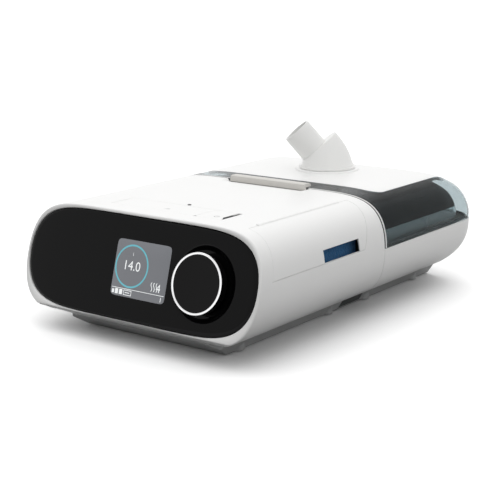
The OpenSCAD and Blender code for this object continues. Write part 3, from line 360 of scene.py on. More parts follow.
# Finishes of the CAD nodes that stay
CAD_FINISH = {
    "foot": ["rear_panel", "air_stub"],
    "duct": ["filter_bay", "air_box", "blower_case", "blower_cover", "display_module",
             "encoder_body"],
    "silicone": ["inlet_bellows", "outlet_boot", "blower_mounts", "inlet_seal", "tank_seal",
                 "port_seal", "elbow_seal", "key_mat"],
    "board": ["display_board", "key_board", "main_board"],
    "component": ["board_parts", "memory_card", "power_inlet", "light_sensor"],
    "steel": ["encoder_stem", "door_hinge_pin", "lid_hinge_pin", "latch_pin", "motor_shaft",
              "tray_screws", "humidifier_screws", "blower_motor", "tank_floor"],
    "aluminium": ["heater_plate"],
    "film": ["heater_pad"],
    "impeller": ["impeller"],
    "rubber": ["tray_feet", "humidifier_feet"],
    "filter": ["pollen_filter"],
    "fleece": ["fine_filter"],
    "tank": ["tank_tub"],
    "smoke": ["tank_lid"],
}


# Meshes


def grid_faces(rows, columns, wrap=False):
    """Quads of a grid whose vertices run along the columns first. wrap joins the last column
    to the first."""
    first = np.arange(rows - 1)[:, None] * columns
    here = np.arange(columns if wrap else columns - 1)[None, :]
    there = (here + 1) % columns
    return np.stack(
        [first + here, first + there, first + columns + there, first + columns + here], -1
    ).reshape(-1, 4)


def capped_faces(rows, columns):
    """Faces of a tube made of closed rings, with a cap on its first ring and on its last."""
    caps = [tuple(range(columns)), tuple(range((rows - 1) * columns, rows * columns))]
    return [tuple(face) for face in grid_faces(rows, columns, wrap=True)] + caps


def add_piece(name, body, finish, vertices, faces, inside=None, **options):
    """A finished piece from vertices in millimetres: doubles are merged, and faces turned away
    from the point inside. The options are those of finish_piece()."""
    vertices = np.asarray(vertices, float).reshape(-1, 3) * MM
    mesh = bpy.data.meshes.new(name)
    mesh.from_pydata(vertices.tolist(), [], [tuple(int(i) for i in f) for f in faces])
    work = bmesh.new()
    work.from_mesh(mesh)
    bmesh.ops.remove_doubles(work, verts=work.verts, dist=2e-6)
    bmesh.ops.dissolve_degenerate(work, edges=work.edges, dist=1e-6)
    if inside is None:
        bmesh.ops.recalc_face_normals(work, faces=work.faces)
    work.to_mesh(mesh)
    work.free()
    if inside is not None:
        count = len(mesh.polygons)
        centre, normal = np.zeros(count * 3), np.zeros(count * 3)
        area = np.zeros(count)
        mesh.polygons.foreach_get("center", centre)
        mesh.polygons.foreach_get("normal", normal)
        mesh.polygons.foreach_get("area", area)
        away = centre.reshape(-1, 3) - np.array(inside) * MM
        if (area * (normal.reshape(-1, 3) * away).sum(1)).sum() < 0:
            mesh.flip_normals()
    return finish_piece(name, mesh, body, finish, **options)


def add_surface(name, body, finish, grid, wrap=True, **options):
    """A finished piece from a grid of points, closed round its rows by wrap."""
    faces = grid_faces(*np.shape(grid)[:2], wrap=wrap)
    return add_piece(name, body, finish, grid, faces, **options)


def finish_piece(name, mesh, body, finish, wall=0, edge=0, segments=2, slot=None, replaces=(),
                 angle=40, even=True):
    """Gives a mesh its wall (inwards) and its rounded edges, applies both, and puts the piece on
    its body."""
    mesh.polygons.foreach_set("use_smooth", np.ones(len(mesh.polygons), bool))
    piece = bpy.data.objects.new(name, mesh)
    bpy.context.scene.collection.objects.link(piece)
    if wall:
        solid = piece.modifiers.new("wall", "SOLIDIFY")
        solid.thickness = wall * MM
        solid.offset = -1
        solid.use_even_offset = even
        solid.thickness_clamp = 1
    if edge:
        bevel = piece.modifiers.new("edge", "BEVEL")
        bevel.width = edge * MM
        bevel.segments = segments
        bevel.limit_method = "ANGLE"
        bevel.angle_limit = math.radians(angle)
        bevel.harden_normals = True
        bevel.use_clamp_overlap = True
    if wall or edge:
        depsgraph = bpy.context.evaluated_depsgraph_get()
        made = bpy.data.meshes.new_from_object(piece.evaluated_get(depsgraph))
        piece.modifiers.clear()
        piece.data = made
        made.name = name
    if not edge:
        piece.data.set_sharp_from_angle(angle=math.radians(angle))
    piece.data.materials.clear()
    piece.data.materials.append(finishes()[finish] if isinstance(finish, str) else finish)
    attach(piece, body)
    if replaces:
        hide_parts(*replaces)
    return piece


def rounded_copy(name, node, body, finish, edge, slot):
    """A merged copy of a CAD node with rounded edges, for plain moulded pieces."""
    work = bmesh.new()
    work.from_mesh(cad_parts[node].data)
    bmesh.ops.remove_doubles(work, verts=work.verts, dist=1e-6)
    bmesh.ops.dissolve_limit(
        work, angle_limit=math.radians(1), verts=work.verts, edges=work.edges
    )
    mesh = bpy.data.meshes.new(name)
    work.to_mesh(mesh)
    work.free()
    return finish_piece(
        name, mesh, body, finish, edge=edge, slot=slot, replaces=(node,), angle=30
    )


def full_turn(count):
    """Cosines and sines of equal steps round a full turn."""
    turn = np.linspace(0, 2 * np.pi, count, endpoint=False)
    return np.cos(turn), np.sin(turn)


def revolved(radii, heights, count=96):
    """A profile turned about Z, as a grid. Row k is the circle of radii[k] at heights[k]."""
    cosine, sine = full_turn(count)
    r, z = np.asarray(radii, float)[:, None], np.asarray(heights, float)[:, None]
    return np.stack([r * cosine, r * sine, z + 0 * sine], -1)


def rows_between(lines, counts):
    """Rows that run evenly from each line to the next in so many steps, and the last line."""
    rows = []
    for start, stop, count in zip(lines[:-1], lines[1:], counts):
        share = np.linspace(0, 1, count, endpoint=False)[:, None]
        rows.append(start + (stop - start) * share)
    return np.concatenate(rows + [lines[-1][None]])


def nearest(turns, value):
    """Number of the turn that is nearest to a value."""
    return int(np.argmin(np.abs(turns - value)))


def halved(low, high, holds, rounds=40):
    """Values between low and high up to which a condition holds, found by halving, for all
    elements at once."""
    for _ in range(rounds):
        mid = (low + high) / 2
        below = holds(mid)
        low, high = np.where(below, mid, low), np.where(below, high, mid)
    return low


def rounding(r, count=5, start=0.0, stop=90.0):
    """Sine and cosine parts of a rounded edge of radius r, from start to stop degrees."""
    turn = np.radians(np.linspace(start, stop, count))
    return r * np.sin(turn), r * np.cos(turn)


# Form of the housings

# Powers of the rear rounding: seen from above, and from the side
TAIL_POWERS = (3.06, 1.92)


def tail_factors(y):
    """How far the width and the height have shrunk at Y: superellipse quarters over the last
    part of the length."""
    s = sizes()
    factors = []
    for part, power in ((s.tail_plan, TAIL_POWERS[0]), (s.tail_rise, TAIL_POWERS[1])):
        u = np.clip((y - BACK_WALL + part) / part, 0, 1)
        factors.append((1 - u ** power) ** (1 / power))
    return factors


def top_height(x, y):
    """Height of the upper surface above its middle: half height times the rear factor times
    (1 - |x / half width|^side power)^(1 / top power)."""
    s = sizes()
    wide, tall = tail_factors(y)
    u = np.clip(np.abs(x) / np.maximum(s.half_w * wide, 1e-6), 0, 1)
    return s.half_h * tall * (1 - u ** s.side_power) ** (1 / s.top_power)


def quarter(a, b, p, q):
    """Quarter of |x/a|^p + |z/b|^q = 1 from (a, 0) to (0, b): X, Z and the share of its length."""
    t = np.linspace(0, np.pi / 2, 20001)
    x, z = a * np.cos(t) ** (2 / p), b * np.sin(t) ** (2 / q)
    x[-1], z[0] = 0, 0
    run = np.concatenate([[0], np.cumsum(np.hypot(np.diff(x), np.diff(z)))])
    return x, z, run / run[-1]


def section_quarter():
    """The housings' section as a quarter."""
    s = sizes()
    return quarter(s.half_w, s.half_h, s.side_power, s.top_power)


def loop(turns, curve):
    """Points of a closed section at turns from 0 to 4: 0 bottom, 1 right, 2 top, 3 left."""
    x, z, run = curve
    turns = np.asarray(turns) % 4
    part = np.floor(turns).astype(int)
    share = turns - part
    share = np.where(part % 2 == 0, 1 - share, share)
    px, pz = np.interp(share, run, x), np.interp(share, run, z)
    return np.where(part < 2, px, -px), np.where((part == 1) | (part == 2), pz, -pz)


def turn_at_x(x, curve):
    """Turn of the upper section where X has this value."""
    share = np.interp(-np.abs(x), -curve[0], curve[2])
    return np.where(np.asarray(x) >= 0, 1 + share, 3 - share)


def turn_at_z(z, curve):
    """Turn of the right upper section where Z has this value."""
    return 1 + np.interp(z, curve[1], curve[2])


def stations(*ends, step=2.0, scale=1.0):
    """Values that run through all ends, at most step apart once they are multiplied by scale."""
    parts = [
        np.linspace(a, b, max(int(math.ceil(abs(b - a) * scale / step)), 1), endpoint=False)
        for a, b in zip(ends[:-1], ends[1:])
    ]
    return np.concatenate(parts + [[ends[-1]]])


# About the length of the housings' section over one turn
TURN_LENGTH = 118
# The panel's lean, the chin's slope, and the powers of the panel's outline
LEAN = math.radians(16)
CHIN = math.tan(math.radians(32.6))
PANEL_POWERS = (6.4, 2.2)
# Middle of the dial on the panel: to the right, and up the slope
DIAL_AT = (54.0, -1.0)
# X of the side door's hinge line, and the slope of the door's back edge: Y for each height
DOOR_HINGE_X = 72.8
DOOR_BACK_SLOPE = 15 / 30.1
# A distance beyond every piece, where a search for an outline ends
FAR = 200.0


def face_y(z):
    """Y of the front panel's plane at a height."""
    return SEAM_FRONT - sizes().unit_l + (z - float(HOUSING[0][2])) * math.tan(LEAN)


def face_point(u, v, out=0.0):
    """Point on the leaning front panel's plane: u to the right, v up the slope, out of it."""
    z0 = float(HOUSING[0][2]) + sizes().face_up
    u, v, out = np.broadcast_arrays(u, v, out)
    return np.stack([
        u, face_y(z0) + v * math.sin(LEAN) - out * math.cos(LEAN),
        z0 + v * math.cos(LEAN) + out * math.sin(LEAN),
    ], -1)


def panel_curve(grow=0.0):
    """The panel's outline as a quarter, grown by a distance."""
    s = sizes()
    return quarter(s.panel_half_w + grow, s.panel_half_h + grow, *PANEL_POWERS)


def door_front_y(z):
    """Y of the door's front edge at a height: it leans as the panel does."""
    s = sizes()
    return s.door_front + (z - s.door_z) * math.tan(LEAN)


def door_back_y(z):
    """Y of the door's back edge at a height."""
    s = sizes()
    return s.door_back + DOOR_BACK_SLOPE * (z - s.door_z)


def chin_z(y):
    """Height of the chin's slope at Y."""
    return (sizes().chin_back - y) * CHIN


def inward(x, z):
    """Unit vector into the section at a point of it, from the superellipse's gradient."""
    s = sizes()
    gx = np.sign(x) * (np.abs(x) / s.half_w) ** (s.side_power - 1) * s.side_power / s.half_w
    gz = np.sign(z) * (np.abs(z) / s.half_h) ** (s.top_power - 1) * s.top_power / s.half_h
    size = np.maximum(np.hypot(gx, gz), 1e-9)
    return -gx / size, -gz / size


def seam_edge(edge, nx, nz, radius, way):
    """Rows that round a shell's edge at the seam and turn its wall in. The edge's points move
    inwards by radius minus cosine, and along Y by the sine: way is 1 to the back and -1 to the
    front."""
    sine, cosine = rounding(radius, 4, 25, 90)
    depth = np.append(radius - cosine, sizes().wall)[:, None]
    along = way * np.append(sine, radius)[:, None]
    return edge + np.stack([nx * depth, along + 0 * nx, nz * depth], -1)


def finger_dip(x, z, y):
    """Depth of the recess in front of the latch: half a cosine towards the seam, times half a
    cosine at each end of its width. Only the upper surface has it."""
    half = LATCH[1][0] + 2.8
    across = np.clip((half - np.abs(x)) / 2.4, 0, 1)
    along = np.clip((y - SEAM_FRONT + 11) / 9.5, 0, 1)
    depth = sizes().dip * (1 - np.cos(np.pi * along)) * (1 - np.cos(np.pi * across)) / 4
    return np.where(z > sizes().mid_z, depth, 0)


class FrontHousing(bpy.types.Operator):
    """Builds the front unit's housing: the section carried along Y, its front edge folded in
    to the panel, with openings for the keys and the side door, and the finger recess"""

    bl_idname = "machine.front_housing"
    bl_label = "Front housing"

    def execute(self, context):
        s = sizes()
        curve = section_quarter()
        hinge_x = DOOR_HINGE_X - s.door_gap
        low_turn = float(turn_at_z(s.door_z - s.door_gap - s.mid_z, curve))
        hinge_turn = float(turn_at_x(hinge_x, curve))
        key_a = float(turn_at_x(s.key_right + s.gap, curve))
        key_b = float(turn_at_x(s.key_left - s.gap, curve))
        turns = stations(
            0, 0.62, 1, low_turn, hinge_turn, key_a, key_b, 3, 3.38, 4, scale=TURN_LENGTH
        )[:-1]
        x, dz = loop(turns, curve)
        z = s.mid_z + dz
        # Where the panel's plane meets the chin
        crossing_y, crossing_z = -146.56, 16.83
        start = np.maximum(face_y(z), crossing_y)
        edge_z = np.maximum(z, crossing_z)
        # Control lines of the rows: p along the front of the keys and the door, q along the back
        # of the keys, r along the back of the door
        on_side = (turns >= low_turn - 1e-9) & (turns <= hinge_turn + 1e-9)
        z_hinge = float(s.mid_z + loop(hinge_turn, curve)[1])
        low_y, high_y = s.door_front - s.door_gap, door_front_y(z_hinge) - s.door_gap
        key_y = s.key_front - s.gap
        line_p = np.interp(
            turns, [0, low_turn, hinge_turn, key_a, 4], [low_y, low_y, high_y, key_y, key_y]
        )
        line_p = np.where(on_side, door_front_y(z) - s.door_gap, line_p)
        low_y, high_y = s.door_back + s.door_gap, door_back_y(z_hinge) + s.door_gap
        line_r = np.interp(turns, [0, low_turn, hinge_turn, 4], [low_y, low_y, high_y, high_y])
        line_r = np.where(on_side, door_back_y(z) + s.door_gap, line_r)
        line_q = np.full_like(x, s.key_back + 0.06)
        first, last = start + s.lip, np.full_like(x, SEAM_FRONT - s.edge)
        counts = (12, 9, 28, 22)
        y = rows_between((first, line_p, line_q, line_r, last), counts)
        body = np.stack([x + 0 * y, y, np.maximum(z, chin_z(y)) - finger_dip(x, z, y)], -1)
        # The front edge: a rounded corner, the flat rim, and the recess for the panel
        panel_gap, recess, soft_edge = 0.12, 4.0, 0.35
        outer = np.stack([x, start, edge_z], -1)
        pu, pv = loop(turns, panel_curve(panel_gap))
        rim = face_point(pu, pv)
        toward = rim - outer
        reach = np.linalg.norm(toward, axis=1, keepdims=True)
        toward = toward / np.maximum(reach, 1e-6)
        corner = []
        for sine, cosine in zip(*rounding(s.lip, 6, 0, 75)):
            inset = np.minimum(s.lip - sine, reach * 0.8)
            corner.append(outer + toward * inset + np.array([0, s.lip - cosine, 0]))
        deep = face_point(pu, pv, -recess)
        ledge = face_point(pu, pv, -soft_edge)
        soft = rim - toward * np.minimum(0.3, reach * 0.1)
        turned = seam_edge(np.stack([x, last, z], -1), *inward(x, dz), s.edge, 1)
        turned[..., 2] -= finger_dip(x, z, turned[..., 1])
        grid = np.concatenate([
            deep[None], ledge[None], soft[None], np.array(corner), body, turned
        ])
        rows, columns = grid.shape[:2]
        faces = grid_faces(rows, columns, wrap=True).reshape(rows - 1, columns, 4)
        keep = np.ones((rows - 1, columns), bool)
        head = 3 + len(corner)
        row_p, row_q = head + counts[0], head + counts[0] + counts[1]
        row_r = row_q + counts[2]
        keep[row_p:row_q, nearest(turns, key_a):nearest(turns, key_b)] = False
        keep[row_p:row_r, nearest(turns, low_turn):nearest(turns, hinge_turn)] = False
        add_piece(
            "housing_shell", "unit", "shell", grid, faces[keep], inside=(0, -70, 48),
            wall=s.wall, edge=0.16, slot="white_shell", replaces=("main_housing",), angle=60,
        )
        return {"FINISHED"}


class SideDoor(bpy.types.Operator):
    """Builds the side door: a patch of the housing's own section between its slanted ends,
    with the air inlet cut out of its lower edge, and its hinge barrel"""

    bl_idname = "machine.side_door"
    bl_label = "Side door"

    def execute(self, context):
        s = sizes()
        curve = section_quarter()
        low = float(turn_at_z(s.door_z - s.mid_z, curve))
        sill = float(turn_at_z(s.door_z + s.inlet_h - s.mid_z, curve))
        high = float(turn_at_x(DOOR_HINGE_X, curve))
        turns = stations(low, sill, high, scale=TURN_LENGTH, step=1.6)
        x, dz = loop(turns, curve)
        z = s.mid_z + dz
        counts = (22, 16, 8)
        y = rows_between(
            (door_front_y(z), np.full_like(x, s.inlet_front), np.full_like(x, s.inlet_back),
             door_back_y(z)),
            counts,
        )
        grid = np.stack([x + 0 * y, y, z + 0 * y], -1)
        rows, columns = y.shape
        faces = grid_faces(rows, columns).reshape(rows - 1, columns - 1, 4)
        keep = np.ones((rows - 1, columns - 1), bool)
        keep[counts[0]:counts[0] + counts[1], :nearest(turns, sill)] = False
        add_piece(
            "side_door", "side_door", "shell", grid, faces[keep], inside=(50, -70, 45),
            wall=2.0, edge=0.16, slot="white_shell", replaces=("filter_door",), angle=60,
        )
        pin_low, pin_high = box_mm("door_hinge_pin")
        middle = middle_mm("door_hinge_pin")
        bore_r, barrel_r, end_gap = 0.85, 1.5, 5.2
        points = revolved([bore_r, barrel_r, barrel_r, bore_r], [0, 0, 1, 1], 32)
        start, stop = pin_low[1] + end_gap, pin_high[1] - end_gap
        along = start + (stop - start) * points[..., 2]
        tube = np.stack([middle[0] + points[..., 0], along, middle[2] + points[..., 1]], -1)
        add_surface("door_barrel", "side_door", "shell", tube, inside=middle, slot="white_shell")
        return {"FINISHED"}


def slot_start(y):
    """1 at the keys' front edge, where the power key's slot is narrow, falling to 0."""
    return np.clip(1 - (y - sizes().key_front - 2) / 4, 0, 1)


class TopKeys(bpy.types.Operator):
    """Builds the two top keys as patches of the housing's top surface, with chamfered corners
    at their split, a dark sheet of painted shade in the power key's slot, and the keys' small
    marks"""

    bl_idname = "machine.top_keys"
    bl_label = "Top keys"

    def execute(self, context):
        s = sizes()
        half = s.gap / 2
        spans = {
            "ramp_key": (s.key_left, s.key_split - half),
            "power_key": (s.key_split + half, s.key_right - s.slot),
        }
        for name, (x0, x1) in spans.items():
            x = stations(x0, x0 + 1.6, x1 - 1.6, x1, step=1.6)
            y = stations(s.key_front, s.key_front + 1.4, s.key_back, step=1.6)
            cut = np.clip(1.6 - np.abs(x - s.key_split), 0, 1.6)
            yy = np.maximum(y[:, None], s.key_front + cut[None, :])
            xx = x[None, :] + 0 * yy
            if name == "power_key":
                xx += slot_start(yy) * (s.slot - 0.3) * np.clip((xx - x1) / 9 + 1, 0, 1)
            zz = s.mid_z + top_height(xx, yy)
            grid = np.stack([xx, yy, zz], -1)
            add_surface(
                name + "_cap", name, "shell", grid, wrap=False, inside=((x0 + x1) / 2, -105, 60),
                wall=2.0, edge=0.2, slot="key_white", replaces=(name,), angle=60,
            )
        # A dark sheet just under the surface in the front two thirds of the slot beside the power
        # key:
        # painted shade for the depth of the slot
        y = np.linspace(s.key_front + 0.3, s.key_back, 20)[:14, None] + np.zeros((1, 3))
        width = s.slot - 0.1 - (s.slot - 0.3) * slot_start(y)
        x = s.key_right - 0.02 - width * np.array([1, 0.5, 0])
        grid = np.stack([x, y, s.mid_z + top_height(x, y) - 0.12], -1)
        add_surface("key_slot_liner", "unit", "rubber", grid, wrap=False,
                    inside=(49, -105, 60), wall=1.0, slot="dark_rubber")
        # Printed marks: a ring with a stroke on the power key and a small ramp on the other
        ink = material("pad_printed_grey_ink", tint("#A9ABAB"), 0.5, grain=0.4)
        mark_x, mark_y, mark_r, stroke = 41, -107, 1.6, 0.25
        turn = np.radians(np.linspace(120, 420, 25))
        ring = np.concatenate([
            np.stack([mark_x + r * np.cos(turn), mark_y + r * np.sin(turn)], -1)
            for r in (mark_r - stroke, mark_r + stroke)
        ])
        bar = np.array([[40.8, -106.8], [41.2, -106.8], [40.8, -104.9], [41.2, -104.9]])
        ramp = np.array([[-1.5, -107.5], [2.5, -107.5], [2.5, -107.45], [2.5, -105.6]])
        marks = (
            ("power_mark", "power_key", ring, grid_faces(2, 25)),
            ("power_stroke", "power_key", bar, [(0, 1, 3, 2)]),
            ("ramp_mark", "ramp_key", ramp, [(0, 1, 3)]),
        )
        for name, body, flat, faces in marks:
            z = s.mid_z + top_height(flat[:, 0], flat[:, 1]) + 0.02
            add_piece(name, body, ink, np.column_stack([flat, z]), faces, inside=(0, -105, 0),
                      slot="board_part")
        return {"FINISHED"}


class FrontPanel(bpy.types.Operator):
    """Builds the glossy panel in rings round the dial: the dish's floor and wall, the flat
    face, and the edge that rolls back to the housing"""

    bl_idname = "machine.front_panel"
    bl_label = "Front panel"

    def execute(self, context):
        s = sizes()
        du, dv = DIAL_AT
        cu, cv = full_turn(360)

        def on_panel(r):
            u, v = np.abs(du + r * cu), np.abs(dv + r * cv)
            p, q = PANEL_POWERS
            return (u / s.panel_half_w) ** p + (v / s.panel_half_h) ** q < 1

        reach = halved(np.zeros(360), np.full(360, FAR), on_panel)
        # The dish: floor round the stem's hole, then a wall that rises on half a cosine, in shares
        # of its width
        hole_r, foot_r, edge_out = 4.2, s.dial_r + 1.3, -3.4
        share = np.linspace(0, 1, 12)
        wall_r = foot_r + (s.dish_r - foot_r) * share
        wall_o = -s.dish_depth * (1 + np.cos(np.pi * share)) / 2
        radii = [np.full(360, r) for r in np.concatenate([[hole_r, 12], wall_r])]
        outs = [np.full(360, o) for o in np.concatenate([[-s.dish_depth] * 2, wall_o])]
        roll = np.minimum(s.panel_roll, (reach - s.dish_r) * 0.7)
        flat_end = reach - roll
        for share in np.linspace(0, 1, 9)[1:]:
            radii.append(s.dish_r + (flat_end - s.dish_r) * share)
            outs.append(np.zeros(360))
        # The rolled edge: a quarter of an ellipse
        for angle in np.radians(np.linspace(10, 90, 9)):
            radii.append(flat_end + roll * math.sin(angle))
            outs.append(np.full(360, -s.panel_fall * (1 - math.cos(angle))))
        radii.append(reach)
        outs.append(np.full(360, edge_out))
        r, out = np.array(radii), np.array(outs)
        grid = face_point(du + r * cu, dv + r * cv, out)
        add_surface(
            "gloss_panel", "unit", "panel", grid, inside=(0, -90, 40), slot="black_panel",
            replaces=("front_panel",), angle=75,
        )
        return {"FINISHED"}


def glow(name, base, strength):
    """A lit part of the display: an emitting film under clear acrylic."""
    made = material(name, base, 0.12, grain=2, depth=0.001, shade=0.05, IOR=1.49)
    shader = made.node_tree.nodes["Principled BSDF"]
    shader.inputs["Emission Color"].default_value = base
    shader.inputs["Emission Strength"].default_value = strength
    return made


class Display(bpy.types.Operator):
    """Builds the lit display: its lens, the teal gauge ring, the figures, the heat waves, and
    the status bar, each a thin print on the lens"""

    bl_idname = "machine.display"
    bl_label = "Display"

    def execute(self, context):
        # Lens: a rounded rectangle in rings, with a softened rim
        lens_u, lens_w, lens_h, lens_power = 4.3, 44.4, 36.0, 0.13
        cu, cv = full_turn(160)
        ou = np.sign(cu) * np.abs(cu) ** lens_power * lens_w / 2
        ov = np.sign(cv) * np.abs(cv) ** lens_power * lens_h / 2
        shares = np.array([0, 0.5, 0.985, 1.0, 1.0])[:, None]
        outs = np.array([0.12, 0.12, 0.12, 0.02, -0.6])[:, None]
        lens = face_point(lens_u + ou * shares, ov * shares, outs)
        lit = glow("backlit_display_grey", tint("screen"), 0.35)
        add_surface(
            "display_face", "unit", lit, lens, inside=(0, -90, 40), slot="screen",
            replaces=("screen_lens",), angle=50,
        )

        def printed(name, key, u, v, faces, strength, level=0.15):
            grid = face_point(u, v, level)
            film = glow("backlit_display_" + key, tint(key), strength)
            add_piece(name, "unit", film, grid, faces, inside=(0, -60, 40), slot="screen")

        # Gauge ring
        angle = np.linspace(0, 2 * np.pi, 97)
        ring_u, ring_v, radii = -3.6, 1.6, (12.6, 13.7)
        u = np.stack([ring_u + r * np.cos(angle) for r in radii])
        v = np.stack([ring_v + r * np.sin(angle) for r in radii])
        printed("gauge_ring", "gauge", u, v, grid_faces(2, 97), 0.45)
        # Status bar: a pale line, a box at its left end and small boxes in it. Left, right, foot
        # and top of each, to the right of the lens's middle and up
        bars = np.array([
            (-21.5, 21.5, -13.15, -12.8), (-21.0, -19.2, -16.6, -14.2),
            (-18.4, -15.9, -16.8, -13.6), (-15.0, -12.4, -16.8, -13.6),
            (-11.4, -4.8, -16.9, -16.5), (-11.4, -4.8, -14.0, -13.6),
            (-11.4, -11.0, -16.9, -13.6), (-5.2, -4.8, -16.9, -13.6),
            (-10.2, -6.4, -15.5, -15.0), (19.0, 19.5, -16.8, -14.0),
        ])
        corners = np.arange(4 * len(bars)).reshape(-1, 4)
        printed("status_bar", "mark", lens_u + bars[:, [0, 1, 1, 0]], bars[:, [2, 2, 3, 3]],
                corners, 0.3)
        # Heat waves: strips that follow a sine
        rise = np.linspace(0, 1, 17)
        for k in range(3):
            middle = lens_u + 10.6 + 2.1 * k + 0.55 * np.sin(rise * 2 * np.pi)
            u = np.stack([middle - 0.28, middle + 0.28])
            v = np.stack([-11.4 + 5.6 * rise] * 2)
            printed(f"heat_wave_{k}", "mark", u, v, grid_faces(2, 17), 0.4)
        # Figures
        for name, text, u0, v0, size in (
            ("pressure_figure", "14.0", -3.5, -0.9, 8.4), ("heat_figure", "4", 20.5, -11.4, 7.4),
            ("page_figure", "1", -3.6, 8.2, 3.0),
        ):
            letters = bpy.data.curves.new(name, "FONT")
            letters.body, letters.size, letters.align_x = text, size, "CENTER"
            shape = bpy.data.objects.new(name, letters)
            context.scene.collection.objects.link(shape)
            flat = bpy.data.meshes.new_from_object(
                shape.evaluated_get(context.evaluated_depsgraph_get())
            )
            points = np.array([vertex.co for vertex in flat.vertices])
            faces = [tuple(face.vertices) for face in flat.polygons]
            bpy.data.objects.remove(shape)
            printed(name, "mark", u0 + points[:, 0], v0 + points[:, 1], faces, 0.8, 0.16)
        return {"FINISHED"}


def on_dial(points):
    """Puts a shape drawn about Z on the dial's axis, out of the panel."""
    return face_point(DIAL_AT[0] + points[..., 0], DIAL_AT[1] + points[..., 1], points[..., 2])


class Dial(bpy.types.Operator):
    """Builds the push dial: a profile turned about its axis, a slightly hollow disc, a polished
    flank and the plated ring between them"""

    bl_idname = "machine.dial"
    bl_label = "Dial"

    def execute(self, context):
        s = sizes()
        top = s.dial_out - 0.55
        sine, cosine = rounding(0.5, 5)
        radii = np.concatenate([
            [0.01, 8, 14, s.dial_r - 2.0], s.dial_r - 1.9 + sine * 0.8,
            [s.dial_r - 1.4, s.dial_r - 0.7], [s.dial_r - 0.75, s.dial_r - 1.4, 3.2],
        ])
        heights = np.concatenate([
            [top - 0.32, top - 0.26, top - 0.14, top], top - 0.5 + cosine,
            [top - 1.1, top - 1.3], [1.0, -0.8, -0.8],
        ])
        add_surface(
            "dial_disc", "dial", "dial", on_dial(revolved(radii, heights, 144)),
            inside=face_point(*DIAL_AT, 2), slot="dial_black", replaces=("dial_knob",), angle=35,
        )
        # Ring: a small half-round that stands on the dial's shoulder
        turn = np.radians(np.linspace(-40, 220, 15))
        ring_r = s.dial_r - 0.78 + 0.78 * np.cos(turn)
        ring_z = s.dial_out - 0.8 + 0.8 * np.sin(turn)
        add_surface(
            "dial_bright_ring", "dial", "ring", on_dial(revolved(ring_r, ring_z, 144)),
            inside=face_point(*DIAL_AT, -400), slot="bright_ring", replaces=("dial_ring",),
            angle=60,
        )
        return {"FINISHED"}


# Rear unit


def rear_columns(turns, floor):
    """X of the columns, and the Y at which each ends: where the upper surface has come down to
    floor above its middle. Found by halving, for all columns at once."""
    x, _ = loop(turns, section_quarter())
    low, high = np.full_like(x, SEAM_BACK), np.full_like(x, BACK_WALL)
    return x, halved(low, high, lambda mid: top_height(x, mid) > floor, 50)


def rounded_outline(u, v, half_u, half_v, corner):
    """Signed distance from a rounded rectangle's outline."""
    qu = np.abs(u) - half_u + corner
    qv = np.abs(v) - half_v + corner
    return np.hypot(np.maximum(qu, 0), np.maximum(qv, 0)) + np.minimum(
        np.maximum(qu, qv), 0
    ) - corner


def lid_front(x):
    """Y at which the see-through lid starts: behind the dark strip of painted shade in the seam
    and the white rim of painted highlight, and behind the arms of the latch where they pass
    through it."""
    notch = np.clip((LATCH[1][0] - 0.6 - np.abs(x)) / 1.8, 0, 1)
    start = SEAM_BACK + sizes().seam_seal + 0.05 + sizes().rim
    return start + (SEAM_BACK + 6.1 - start) * notch


def seam_band(name, body, finish, ends, y0, y1, sink, depth, slot):
    """A band along the seam: a small profile in Y and inwards, carried along the section
    between two turns, with closed ends."""
    s = sizes()
    turns = np.linspace(*ends, 90)
    x, dz = loop(turns, section_quarter())
    nx, nz = inward(x, dz)
    r = min(0.3, (y1 - y0) / 3)
    profile = np.array([
        (y0, depth), (y0, sink + r), (y0 + 0.3 * r, sink + 0.3 * r), (y0 + r, sink),
        (y1 - r, sink), (y1 - 0.3 * r, sink + 0.3 * r), (y1, sink + r), (y1, depth),
    ])
    y, inset = profile[:, :1], profile[:, 1:]
    grid = np.stack([x + nx * inset, y + 0 * x, s.mid_z + dz + nz * inset], -1)
    grid = grid.transpose(1, 0, 2)
    faces = capped_faces(len(turns), len(profile))
    return add_piece(name, body, finish, grid, faces, slot=slot, angle=50)


def cover_outline(count, grow=0.0):
    """The white cover's outline in four parts, each from the middle of one corner to the middle
    of the next: back right, front right, front left, back left. Points in X and Y."""
    s = sizes()
    half_x = COVER[1][0] + grow
    y0, y1 = COVER[0][1] - grow, COVER[1][1] + grow
    r = s.cover_corner + grow
    corners = [
        (half_x - r, y0 + r, -90), (half_x - r, y1 - r, 0), (-half_x + r, y1 - r, 90),
        (-half_x + r, y0 + r, 180),
    ]
    arcs = []
    for cx, cy, first in corners:
        angle = np.radians(np.linspace(first, first + 90, 41))
        arcs.append(np.stack([cx + r * np.cos(angle), cy + r * np.sin(angle)], -1))
    sides = []
    for k in range(4):
        path = np.concatenate([arcs[k][20:], arcs[(k + 1) % 4][:21]])
        run = np.concatenate([[0], np.cumsum(np.linalg.norm(np.diff(path, axis=0), axis=1))])
        even = np.linspace(0, run[-1], count[k], endpoint=False)
        sides.append(np.stack([np.interp(even, run, path[:, i]) for i in (0, 1)], -1))
    return np.concatenate(sides)


def level_ring(level, side=36, rear=110):
    """Outline of the rear form at a height above its middle: back along the right side, round
    the rear, and forward along the left side. It is left open at the seam."""
    first = float(turn_at_z(level, section_quarter())) + 2e-4
    x, end = rear_columns(np.linspace(first, 4 - first, rear), level)
    along = SEAM_BACK + (end[0] - SEAM_BACK) * np.linspace(0, 1, side, endpoint=False)
    return np.stack([
        np.concatenate([np.full(side, x[0]), x, np.full(side, x[-1])]),
        np.concatenate([along, end, along[::-1]]),
    ])


def closing_faces(rows, columns):
    """Quads that join the last row of a grid to its first, and two caps at its ends."""
    here = np.arange(columns - 1)
    last = (rows - 1) * columns
    turn = np.stack([last + here, last + here + 1, here + 1, here], -1)
    ends = np.arange(rows) * columns
    return np.concatenate([turn, ends[None], (ends + columns - 1)[None]])


